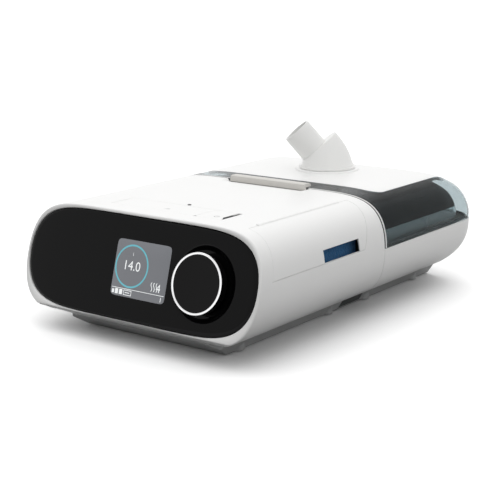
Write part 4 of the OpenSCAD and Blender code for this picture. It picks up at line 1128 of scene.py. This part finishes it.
class TankSides(bpy.types.Operator):
    """Builds the tank's bulging sides in rings of one height: the rear form drawn in towards
    its middle, clear below the tank's lid and dark smoke above it, open at the top"""

    bl_idname = "machine.tank_sides"
    bl_label = "Tank sides"

    def execute(self, context):
        s = sizes()
        # Shares of the rear form's width, length and height
        width_share, length_share, height_share = 0.905, 0.862, 0.88
        squeeze = np.array([width_share, length_share])
        start = np.array([0, TANK_FRONT - SEAM_BACK * length_share])
        split = (s.tank_split - s.mid_z) / height_share
        for name, finish, levels, slot in (
            ("tank_side_clear", "tank", np.linspace(2.6, split - 0.1, 6), "tank_clear"),
            ("tank_side_smoke", "smoke",
             s.half_h - (s.half_h - split) * np.linspace(1, 0.16, 22) ** 1.6, "smoke_window"),
        ):
            rings = np.array([level_ring(level) for level in levels])
            plan = rings.transpose(0, 2, 1) * squeeze + start
            z = s.mid_z + height_share * levels[:, None, None] + 0 * plan[..., :1]
            grid = np.concatenate([plan, z], -1)
            add_surface(
                name, "unit", finish, grid, inside=(0, 70, 50), wall=1.5, edge=0.2, slot=slot,
                angle=60, even=False,
            )
        return {"FINISHED"}


class HumidifierLid(bpy.types.Operator):
    """Builds the lid: a see-through band that runs from the lid's lower edge over the rounded
    rear form to the cover, and the white cover in rings round the air port"""

    bl_idname = "machine.humidifier_lid"
    bl_label = "Humidifier lid"

    def execute(self, context):
        s = sizes()
        curve = section_quarter()
        floor = PART_Z + 0.3 - s.mid_z
        first = float(turn_at_z(floor, curve))
        last = 4 - first
        # The outer boundary in turns and shares of the column: right side to the back, over the
        # back, left side to the front, over the seam. Its parts match the cover's sides.
        count = (90, 150, 90, 150)
        right, rear, left, seam = (np.linspace(0, 1, steps, endpoint=False) for steps in count)
        turn = np.concatenate([
            np.full(count[0], first), first + (last - first) * rear,
            np.full(count[2], last), last + (first - last) * seam,
        ])
        share = np.concatenate([right, 1 + 0 * rear, 1 - left, 0 * seam])
        inner = cover_outline(count, 0.12)
        inner_turn = turn_at_x(inner[:, 0], curve)
        _, inner_end = rear_columns(inner_turn, floor)
        inner_front = lid_front(inner[:, 0])
        inner_share = 1 - np.sqrt(
            1 - (inner[:, 1] - inner_front) / (inner_end - inner_front)
        )
        blend = 1 - (1 - np.linspace(0, 1, 44)) ** 1.25
        turns = turn + (inner_turn - turn) * blend[:, None]
        shares = share + (inner_share - share) * blend[:, None]
        x, end = rear_columns(turns, floor)
        front = lid_front(x)
        y = front + (end - front) * (1 - (1 - shares) ** 2)
        z = s.mid_z + top_height(x, y)
        band = np.stack([x, y, z], -1)
        ledge = cover_outline(count, -4.5)
        base = band[-1].copy()
        base[:, 2] -= s.cover_t
        under = np.column_stack([
            ledge, s.mid_z + top_height(ledge[:, 0], ledge[:, 1]) - s.cover_t
        ])
        grid = np.concatenate([band, base[None], under[None]])
        add_surface(
            "lid_window_band", "lid", "window", grid, inside=(0, 70, 30), wall=s.lid_wall,
            edge=0.25, slot="smoke_window", replaces=("lid_window",), angle=60,
        )
        # A white strip at the lid's front, a painted highlight, and a dark strip in the seam,
        # painted shade for the shadow in the gap, on both sides of the latch
        beside = float(turn_at_x(LATCH[1][0] - 0.4, curve))
        for side, ends in (("right", (first, beside)), ("left", (4 - beside, last))):
            y0 = SEAM_BACK + s.seam_seal
            # A white strip at the lid's front: a painted highlight for the light on the edge at
            # the seam
            seam_band("lid_rim_" + side, "lid", "shell", ends, y0, y0 + s.rim, 0, 1.6,
                      "white_shell")
            # A dark strip just under the surface of the seam: painted shade for the shadow in the
            # gap
            seam_band("seam_seal_" + side, "unit", "rubber", ends, SEAM_FRONT + 0.03, y0 - 0.03,
                      0.12, 2.6, "dark_rubber")
        # The lid's dark seal, which shows through the foot of the window: a band between two
        # heights and two insets towards the lid's middle
        foot, head = PART_Z - 0.1 - s.mid_z, PART_Z + 1.7 - s.mid_z
        rings = []
        for level, inset in ((foot, 4.2), (foot, 2.5), (head, 2.5), (head, 4.2)):
            plan = level_ring(level).T
            away = plan - [0, 70]
            ring = plan - inset * away / np.hypot(away[:, 0], away[:, 1])[:, None]
            rings.append(np.column_stack([ring, np.full(len(ring), level + s.mid_z)]))
        grid = np.array(rings)
        faces = np.concatenate([grid_faces(*grid.shape[:2]), closing_faces(*grid.shape[:2])])
        add_piece("lid_foot_seal", "lid", "seal", grid, faces, slot="dark_rubber", edge=0.2)
        # Cover: rings from the port's tube out to the cover's outline
        cy = float(middle_mm("outlet_port")[1])
        ca, sa = full_turn(480)
        mid_y = (COVER[0][1] + COVER[1][1]) / 2
        half_y = (COVER[1][1] - COVER[0][1]) / 2
        reach = halved(
            np.full(480, 20.0), np.full(480, FAR),
            lambda r: rounded_outline(
                r * ca, cy + r * sa - mid_y, COVER[1][0], half_y, s.cover_corner
            ) < 0,
        )
        inner_r = s.port_r + 2.5
        r = np.array([inner_r + (reach - inner_r) * k for k in np.linspace(0, 1, 40)])
        px, py = r * ca, cy + r * sa
        grid = np.stack([px, py, s.mid_z + top_height(px, py) + 0.05], -1)
        add_surface(
            "lid_white_cover", "lid", "shell", grid, inside=(0, 70, 30), wall=s.cover_t - 0.15,
            edge=0.3, segments=3, slot="white_shell", replaces=("lid_cover",), angle=60,
        )
        # End knuckles of the hinge
        for name, x0, x1 in (("knuckle_left", -30, -12), ("knuckle_right", 12, 30)):
            add_knuckle("lid_" + name, "lid", "window", x0, x1, "smoke_window")
        return {"FINISHED"}


def add_knuckle(name, body, finish, x0, x1, slot):
    """A tube along X round the lid's hinge pin, with rounded ends."""
    bore_r, end_r, soft = 1.6, 2.5, 0.4
    sine, cosine = rounding(soft, 4)
    radii = np.concatenate([[bore_r], end_r + sine, end_r + sine[::-1], [bore_r, bore_r]])
    along = np.concatenate([[0], soft - cosine, x1 - x0 - soft + cosine[::-1], [x1 - x0, 0]])
    points = revolved(radii, along, 40)[..., [2, 0, 1]]
    return add_surface(name, body, finish, points + [x0, HINGE_PIN[1], PART_Z], slot=slot)


class HumidifierBase(bpy.types.Operator):
    """Builds the rear unit's lower shell: the lower half of the rounded rear form, raised to
    the parting line, and the bulkhead at the seam"""

    bl_idname = "machine.humidifier_base"
    bl_label = "Humidifier base"

    def execute(self, context):
        s = sizes()
        turns = np.linspace(-1, 1, 221)
        x, end = rear_columns(turns, 0.001)
        share = np.linspace(0, 1, 90)[:, None]
        fold = 0.25
        first = SEAM_BACK - 0.22 + fold
        y = first + (end - first) * (1 - (1 - share) ** 2)
        z = s.mid_z - top_height(x + 0 * y, y)
        grid = np.stack([x + 0 * y, y, z], -1)
        grid = np.pad(grid, ((0, 1), (1, 1), (0, 0)), mode="edge")
        rim = PART_Z - 0.12
        grid[-1, :, 2] = rim
        grid[:, 0, 2] = rim
        grid[:, -1, 2] = rim
        row = grid[0]
        nx, nz = inward(row[:, 0], row[:, 2] - s.mid_z)
        raised = row[:, 2] > s.mid_z + 0.5
        nx, nz = np.where(raised, -np.sign(row[:, 0]), nx), np.where(raised, 0, nz)
        grid = np.concatenate([seam_edge(row, nx, nz, fold, -1)[::-1], grid])
        add_surface(
            "humidifier_shell", "unit", "shell", grid, wrap=False, inside=(0, 60, 60),
            wall=s.wall, edge=0.2, slot="white_shell", replaces=("humidifier_base",), angle=60,
            even=False,
        )
        # Bulkhead in rings round the air inlet, with a level top
        hx, hz, hr = -37.0, 63.0, 11.4
        top = 75.3
        ca, sa = full_turn(240)

        def in_section(r):
            px, pz = hx + r * ca, hz + r * sa
            inset = np.where(pz > PART_Z - 0.2, 3.6, 0.6)
            u = np.abs(px) / (s.half_w - inset)
            v = np.abs(pz - s.mid_z) / (s.half_h - inset)
            return (u ** s.side_power + v ** s.top_power < 1) & (pz < top)

        reach = halved(np.full(240, hr), np.full(240, FAR), in_section)
        r = np.array([hr + (reach - hr) * k for k in np.linspace(0, 1, 6)])
        grid = np.stack([hx + r * ca, 0 * r + SEAM_BACK + 0.05, hz + r * sa], -1)
        add_surface(
            "humidifier_bulkhead", "unit", "shell", grid, inside=(0, 60, 50), wall=2.3, edge=0.3,
            slot="white_shell", angle=60,
        )
        add_knuckle("base_knuckle", "unit", "shell", -11.7, 11.7, "white_shell")
        return {"FINISHED"}


class LatchBar(bpy.types.Operator):
    """Builds the latch bar: an outline in Y and Z with a lip that hangs into the recess of the
    front unit, carried along X between ends that lean in, and the arm that reaches its pin"""

    bl_idname = "machine.latch_bar"
    bl_label = "Latch bar"

    def execute(self, context):
        top, half, back = LATCH[1][2], LATCH[1][0], SEAM_BACK + 5.8
        under = top - 2.65
        outline = np.array([
            [SEAM_FRONT - 1.5, under - 2.1], [SEAM_FRONT - 0.1, under - 2.1],
            [SEAM_FRONT + 0.1, under], [back - 0.5, under], [back, under + 0.8],
            [back, top - 0.9], [back - 1.4, top - 0.1], [SEAM_FRONT - 0.6, top],
            [SEAM_FRONT - 1.7, top - 0.5], [SEAM_FRONT - 1.7, under - 1.6],
        ])
        lean = (outline[:, 1] - under + 2.1) * 0.22
        grid = [np.column_stack([side * (half - lean), outline]) for side in (-1, 1)]
        add_piece(
            "latch_top_bar", "latch", "latch", grid, capped_faces(2, len(outline)), edge=0.35,
            segments=3, slot="latch_painted_shade", replaces=("lid_latch",), angle=28,
        )
        # Arm: a plate under the bar, with a barrel at its foot
        _, pin_y, pin_z = middle_mm("latch_pin")
        outline = np.array([
            [back - 5.1, under + 0.5], [back - 5.1, pin_z - 1.9], [pin_y, pin_z - 1.95],
            [pin_y + 1.9, pin_z], [pin_y, pin_z + 1.95], [back - 2.4, pin_z + 2.3],
            [back - 2.4, under + 0.5],
        ])
        arm_half = half - 4.2
        grid = [np.column_stack([np.full(7, x), outline]) for x in (-arm_half, arm_half)]
        add_piece("latch_arm", "latch", "latch", grid, capped_faces(2, 7), edge=0.3,
                  slot="latch_painted_shade")
        return {"FINISHED"}


class OutletPort(bpy.types.Operator):
    """Builds the air port: a profile turned about Z, the tube down to the tank and a rounded
    flange on the lid"""

    bl_idname = "machine.outlet_port"
    bl_label = "Outlet port"

    def execute(self, context):
        s = sizes()
        low, high = box_mm("outlet_port")
        flange_t, soft, bevel, outer_r = 2.2, 0.9, 0.4, s.port_r + 2.1
        sine, cosine = rounding(soft, 6)
        top, foot = high[2], high[2] - flange_t
        radii = np.concatenate([
            [s.port_r, outer_r, outer_r, s.flange_r], s.flange_r - soft + cosine,
            [s.port_r + bevel, s.port_r, s.port_r],
        ])
        heights = np.concatenate([
            [low[2], low[2], foot, foot], top - soft + sine, [top, top - bevel, low[2]],
        ])
        grid = revolved(radii, heights, 120) + [0, middle_mm("outlet_port")[1], 0]
        add_surface(
            "port_flange", "lid", "shell", grid, slot="white_shell", replaces=("outlet_port",)
        )
        return {"FINISHED"}


class OutletElbow(bpy.types.Operator):
    """Builds the elbow: a dome turned about Z up to a slanted plane, the slanted face closing
    on the hose connector, the connector with its bore, and the spigot below"""

    bl_idname = "machine.outlet_elbow"
    bl_label = "Outlet elbow"

    def execute(self, context):
        s = sizes()
        # Middle of the elbow's foot, above its spigot and the seal round that
        spigot_r, spigot_l, bore_r = s.port_r - 0.05, 6.5, s.port_r - 2.05
        foot = middle_mm("elbow_seal")
        foot[2] = box_mm("elbow_seal")[0][2] + spigot_l + 1.2
        rise, turned = math.radians(49), math.radians(216)
        # The slanted face starts at cut_x and apex, and holds the connector this far down. The
        # dome's side is an arc whose middle lies below its foot
        cut_x, apex, down = -3.8, 25.0, 18.5
        curve_r, drop, dome_limit = 55.0, 12.0, 33.0
        count = 144
        ca, sa = full_turn(count)
        way = np.array([math.cos(rise), 0, math.sin(rise)])
        seat = np.array([cut_x + down * math.sin(rise), 0, apex - down * math.cos(rise)])

        def dome_r(z):
            arc = np.sqrt(np.maximum(curve_r**2 - (z + drop) ** 2, 0))
            return s.elbow_r - 1 - math.sqrt(curve_r**2 - drop**2) + arc

        dome_top = halved(
            np.zeros(count), np.full(count, dome_limit),
            lambda z: (dome_r(z) * ca - cut_x) * way[0] + (z - apex) * way[2] < 0,
        )
        rows = []

        def ring(r, z):
            rows.append(np.stack([r * ca, r * sa, z + 0 * ca], -1))

        for r, z in (
            (bore_r, -spigot_l), (spigot_r, -spigot_l), (spigot_r, -0.05), (s.elbow_r, 0.0),
            (s.elbow_r, 1.0), (s.elbow_r - 0.35, 1.45), (s.elbow_r - 1.0, 1.5),
        ):
            ring(r, z)
        for share in np.linspace(0.08, 1, 24):
            z = 1.5 + (dome_top - 1.5) * share
            ring(dome_r(z), z)
        spoke = s.connector_r * np.stack([ca * math.sin(rise), sa, -ca * math.cos(rise)], -1)
        start = rows[-1]
        for share in np.linspace(0.15, 1, 7):
            rows.append(start + (seat + spoke - start) * share)
        # Rounded foot of the connector, its flank, lip and bore
        for grow, out in (
            (1.0, 0.8), (0.995, 8), (0.985, 16), (0.98, s.connector_l - 0.5),
            (0.955, s.connector_l), (0.87, s.connector_l), (0.845, s.connector_l - 0.4),
            (0.845, 6), (0.845, -3),
        ):
            rows.append(seat + spoke * grow + way * out)
        # Inner wall: down to the floor of the dome and the spigot's bore
        bore_end, floor_r = rows[-1], s.elbow_r - 5
        floor = np.stack([floor_r * ca, floor_r * sa, 3.5 + 0 * ca], -1)
        for share in (0.3, 0.65, 1.0):
            rows.append(bore_end + (floor - bore_end) * share)
        ring(bore_r, 2.5)
        ring(bore_r, -spigot_l)
        grid = np.array(rows)
        spin = np.array([
            [math.cos(turned), -math.sin(turned), 0], [math.sin(turned), math.cos(turned), 0],
            [0, 0, 1],
        ])
        grid = grid @ spin.T + foot
        add_surface(
            "elbow_body", "elbow", "elbow", grid, edge=0.7, segments=3, slot="elbow_clear",
            replaces=("outlet_elbow",), angle=28,
        )
        return {"FINISHED"}


class FootPieces(bpy.types.Operator):
    """Rounds the edges of the foot's trays and the two release catches"""

    bl_idname = "machine.foot_pieces"
    bl_label = "Foot and catches"

    def execute(self, context):
        for name, node in (("front_tray", "base_tray"), ("rear_tray", "humidifier_foot")):
            rounded_copy(name, node, "unit", "foot", 0.5, "foot_shell")
        for name, body in (("catch_right", "right_catch"), ("catch_left", "left_catch")):
            rounded_copy(name + "_block", name, body, "catch", 0.4, "catch_dark")
        return {"FINISHED"}


class CadFinishes(bpy.types.Operator):
    """Gives every CAD node that stays its procedural material"""

    bl_idname = "machine.cad_finishes"
    bl_label = "Finishes of the inner pieces"

    def execute(self, context):
        made = finishes()
        for key, names in CAD_FINISH.items():
            for name in filter(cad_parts.get, names):
                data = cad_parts[name].data
                data.materials.clear()
                data.materials.append(made[key])
        return {"FINISHED"}


def seen_directly(tree):
    """Output that is 1 for camera rays and for mirrored and see-through rays, and 0 for light."""
    path = add_node(tree, "ShaderNodeLightPath")
    seen = path.outputs["Is Camera Ray"]
    for kind in ("Is Glossy Ray", "Is Transmission Ray"):
        either = add_node(
            tree, "ShaderNodeMath", {"operation": "MAXIMUM"}, [seen, path.outputs[kind]]
        )
        seen = either.outputs[0]
    return seen


class Stage(bpy.types.Operator):
    """Sets the camera, the lamps, the white surroundings and the floor that keeps the shadow"""

    bl_idname = "machine.stage"
    bl_label = "Camera, light and floor"

    def execute(self, context):
        scene = context.scene
        scene.view_settings.view_transform = "Standard"
        # The photograph's camera: the side of the picture, the focal length and the middle in
        # pixels, then the turn to the right, the angle up and the roll in degrees, and the place
        pixels, focal, middle_x, middle_y = 500, 1249.3, 271.6, 259.1
        a, e, roll = (math.radians(angle) for angle in (36.12, 13.86, -0.09))
        eye = np.array([513.3, -696.84, 242.4])
        lens = bpy.data.cameras.new("camera")
        lens.lens = focal * lens.sensor_width / pixels
        lens.shift_x = (pixels / 2 - middle_x) / pixels
        lens.shift_y = (middle_y - pixels / 2) / pixels
        lens.clip_start, lens.clip_end = 0.01, 50
        camera = bpy.data.objects.new("camera", lens)
        forward = np.array([
            -math.sin(a) * math.cos(e), math.cos(a) * math.cos(e), -math.sin(e)
        ])
        right = np.array([math.cos(a), math.sin(a), 0])
        up = np.cross(right, forward)
        across = right * math.cos(roll) + up * math.sin(roll)
        upward = up * math.cos(roll) - right * math.sin(roll)
        place = np.eye(4)
        place[:3, 0], place[:3, 1], place[:3, 2] = across, upward, -forward
        place[:3, 3] = eye * MM
        camera.matrix_world = Matrix(place.tolist())
        scene.collection.objects.link(camera)
        scene.camera = camera

        # A soft sun from the upper left and behind models the form a little. A weak, wide one
        # low from the front right fills the long side
        for name, strength, spread, way in (
            ("soft_sun", 0.3, 40, (-28, -30, 0)), ("side_fill", 0.28, 60, (70, 0, 62)),
        ):
            lamp = bpy.data.lights.new(name, "SUN")
            lamp.energy, lamp.angle = strength, math.radians(spread)
            holder = bpy.data.objects.new(name, lamp)
            holder.rotation_euler = [math.radians(angle) for angle in way]
            scene.collection.objects.link(holder)

        # Surroundings: pure white to the camera, to mirrored and to see-through rays. As light, a
        # dark room with one wide soft ceiling, which leans back: its strength is a smoothstep of
        # the cosine between the ray and the ceiling's middle
        world = bpy.data.worlds.new("studio")
        world.use_nodes = True
        scene.world = world
        tree = world.node_tree
        tree.nodes.clear()
        ray = add_node(tree, "ShaderNodeTexCoord").outputs["Generated"]
        toward = add_node(tree, "ShaderNodeVectorMath", {"operation": "DOT_PRODUCT"}, Vector=ray)
        toward.inputs[1].default_value = (-0.12, 0.2, 0.972)
        ceiling = add_node(
            tree, "ShaderNodeMapRange",
            {"interpolation_type": "SMOOTHSTEP", "From Min": -0.85, "From Max": 0.9,
             "To Min": 0.0, "To Max": 1.03},
            Value=toward.outputs["Value"],
        )
        light = add_node(
            tree, "ShaderNodeBackground", {"Color": (1, 1, 1, 1)}, Strength=ceiling.outputs[0]
        )
        white = add_node(tree, "ShaderNodeBackground", {"Color": (1, 1, 1, 1), "Strength": 1.0})
        mix = add_node(
            tree, "ShaderNodeMixShader", {},
            [seen_directly(tree), light.outputs[0], white.outputs[0]],
        )
        add_node(tree, "ShaderNodeOutputWorld", Surface=mix.outputs[0])

        # Floor: matt white paper where it is seen, with a lift that fades out near the object, so
        # that it meets the white and keeps the shadow. As a source of bounced light it is a dark
        # grey, so that the lower sides stay in shade
        mesh = bpy.data.meshes.new("floor")
        half = 12.0
        corners = [(-half, -half, 0), (half, -half, 0), (half, half, 0), (-half, half, 0)]
        mesh.from_pydata(corners, [], [(0, 1, 2, 3)])
        floor = bpy.data.objects.new("floor", mesh)
        scene.collection.objects.link(floor)
        paper = bpy.data.materials.new("matt_white_paper")
        paper.use_nodes = True
        tree = paper.node_tree
        tree.nodes.remove(tree.nodes["Principled BSDF"])
        white = add_node(tree, "ShaderNodeBsdfDiffuse", {"Color": tint("#F5F5F5")})
        near = add_node(tree, "ShaderNodeAmbientOcclusion", {"Distance": 0.16, "samples": 8})
        fade = add_node(
            tree, "ShaderNodeMapRange",
            {"interpolation_type": "SMOOTHSTEP", "From Min": 0.1, "To Max": 0.4},
            Value=near.outputs["AO"],
        )
        grey = add_node(tree, "ShaderNodeBsdfDiffuse", {"Color": tint("#444444")})
        lift = add_node(
            tree, "ShaderNodeEmission", {"Color": (1, 1, 1, 1)}, Strength=fade.outputs[0]
        )
        lifted = add_node(
            tree, "ShaderNodeAddShader", {}, [white.outputs[0], lift.outputs[0]]
        )
        pick = add_node(
            tree, "ShaderNodeMixShader", {},
            [seen_directly(tree), grey.outputs[0], lifted.outputs[0]],
        )
        tree.links.new(pick.outputs[0], tree.nodes["Material Output"].inputs["Surface"])
        mesh.materials.append(paper)
        return {"FINISHED"}


class MachinePanel(bpy.types.Panel):
    """Lists the steps that build the machine"""

    bl_idname = "VIEW3D_PT_breathing_machine"
    bl_label = "Breathing machine"
    bl_space_type = "VIEW_3D"
    bl_region_type = "UI"
    bl_category = "Breathing machine"

    def draw(self, context):
        for step in STEPS:
            self.layout.operator(step.bl_idname)
        for group, kind in (("machine_sizes", MachineSizes), ("machine_colours", MachineColours)):
            box = self.layout.box()
            for key in kind.__annotations__:
                box.prop(getattr(context.scene, group), key)


STEPS = (
    Stage, CadFinishes, FrontHousing, SideDoor, TopKeys, FrontPanel, Display, Dial,
    HumidifierBase, TankSides, HumidifierLid, LatchBar, OutletPort, OutletElbow, FootPieces,
)
CLASSES = (MachineSizes, MachineColours, *STEPS, MachinePanel)


def register():
    for kind in CLASSES:
        bpy.utils.register_class(kind)
    bpy.types.Scene.machine_sizes = bpy.props.PointerProperty(type=MachineSizes)
    bpy.types.Scene.machine_colours = bpy.props.PointerProperty(type=MachineColours)


def unregister():
    del bpy.types.Scene.machine_colours
    del bpy.types.Scene.machine_sizes
    for kind in reversed(CLASSES):
        bpy.utils.unregister_class(kind)


def main():
    register()
    for step in STEPS:
        group, name = step.bl_idname.split(".")
        getattr(getattr(bpy.ops, group), name)()


if __name__ == "__main__":
    main()
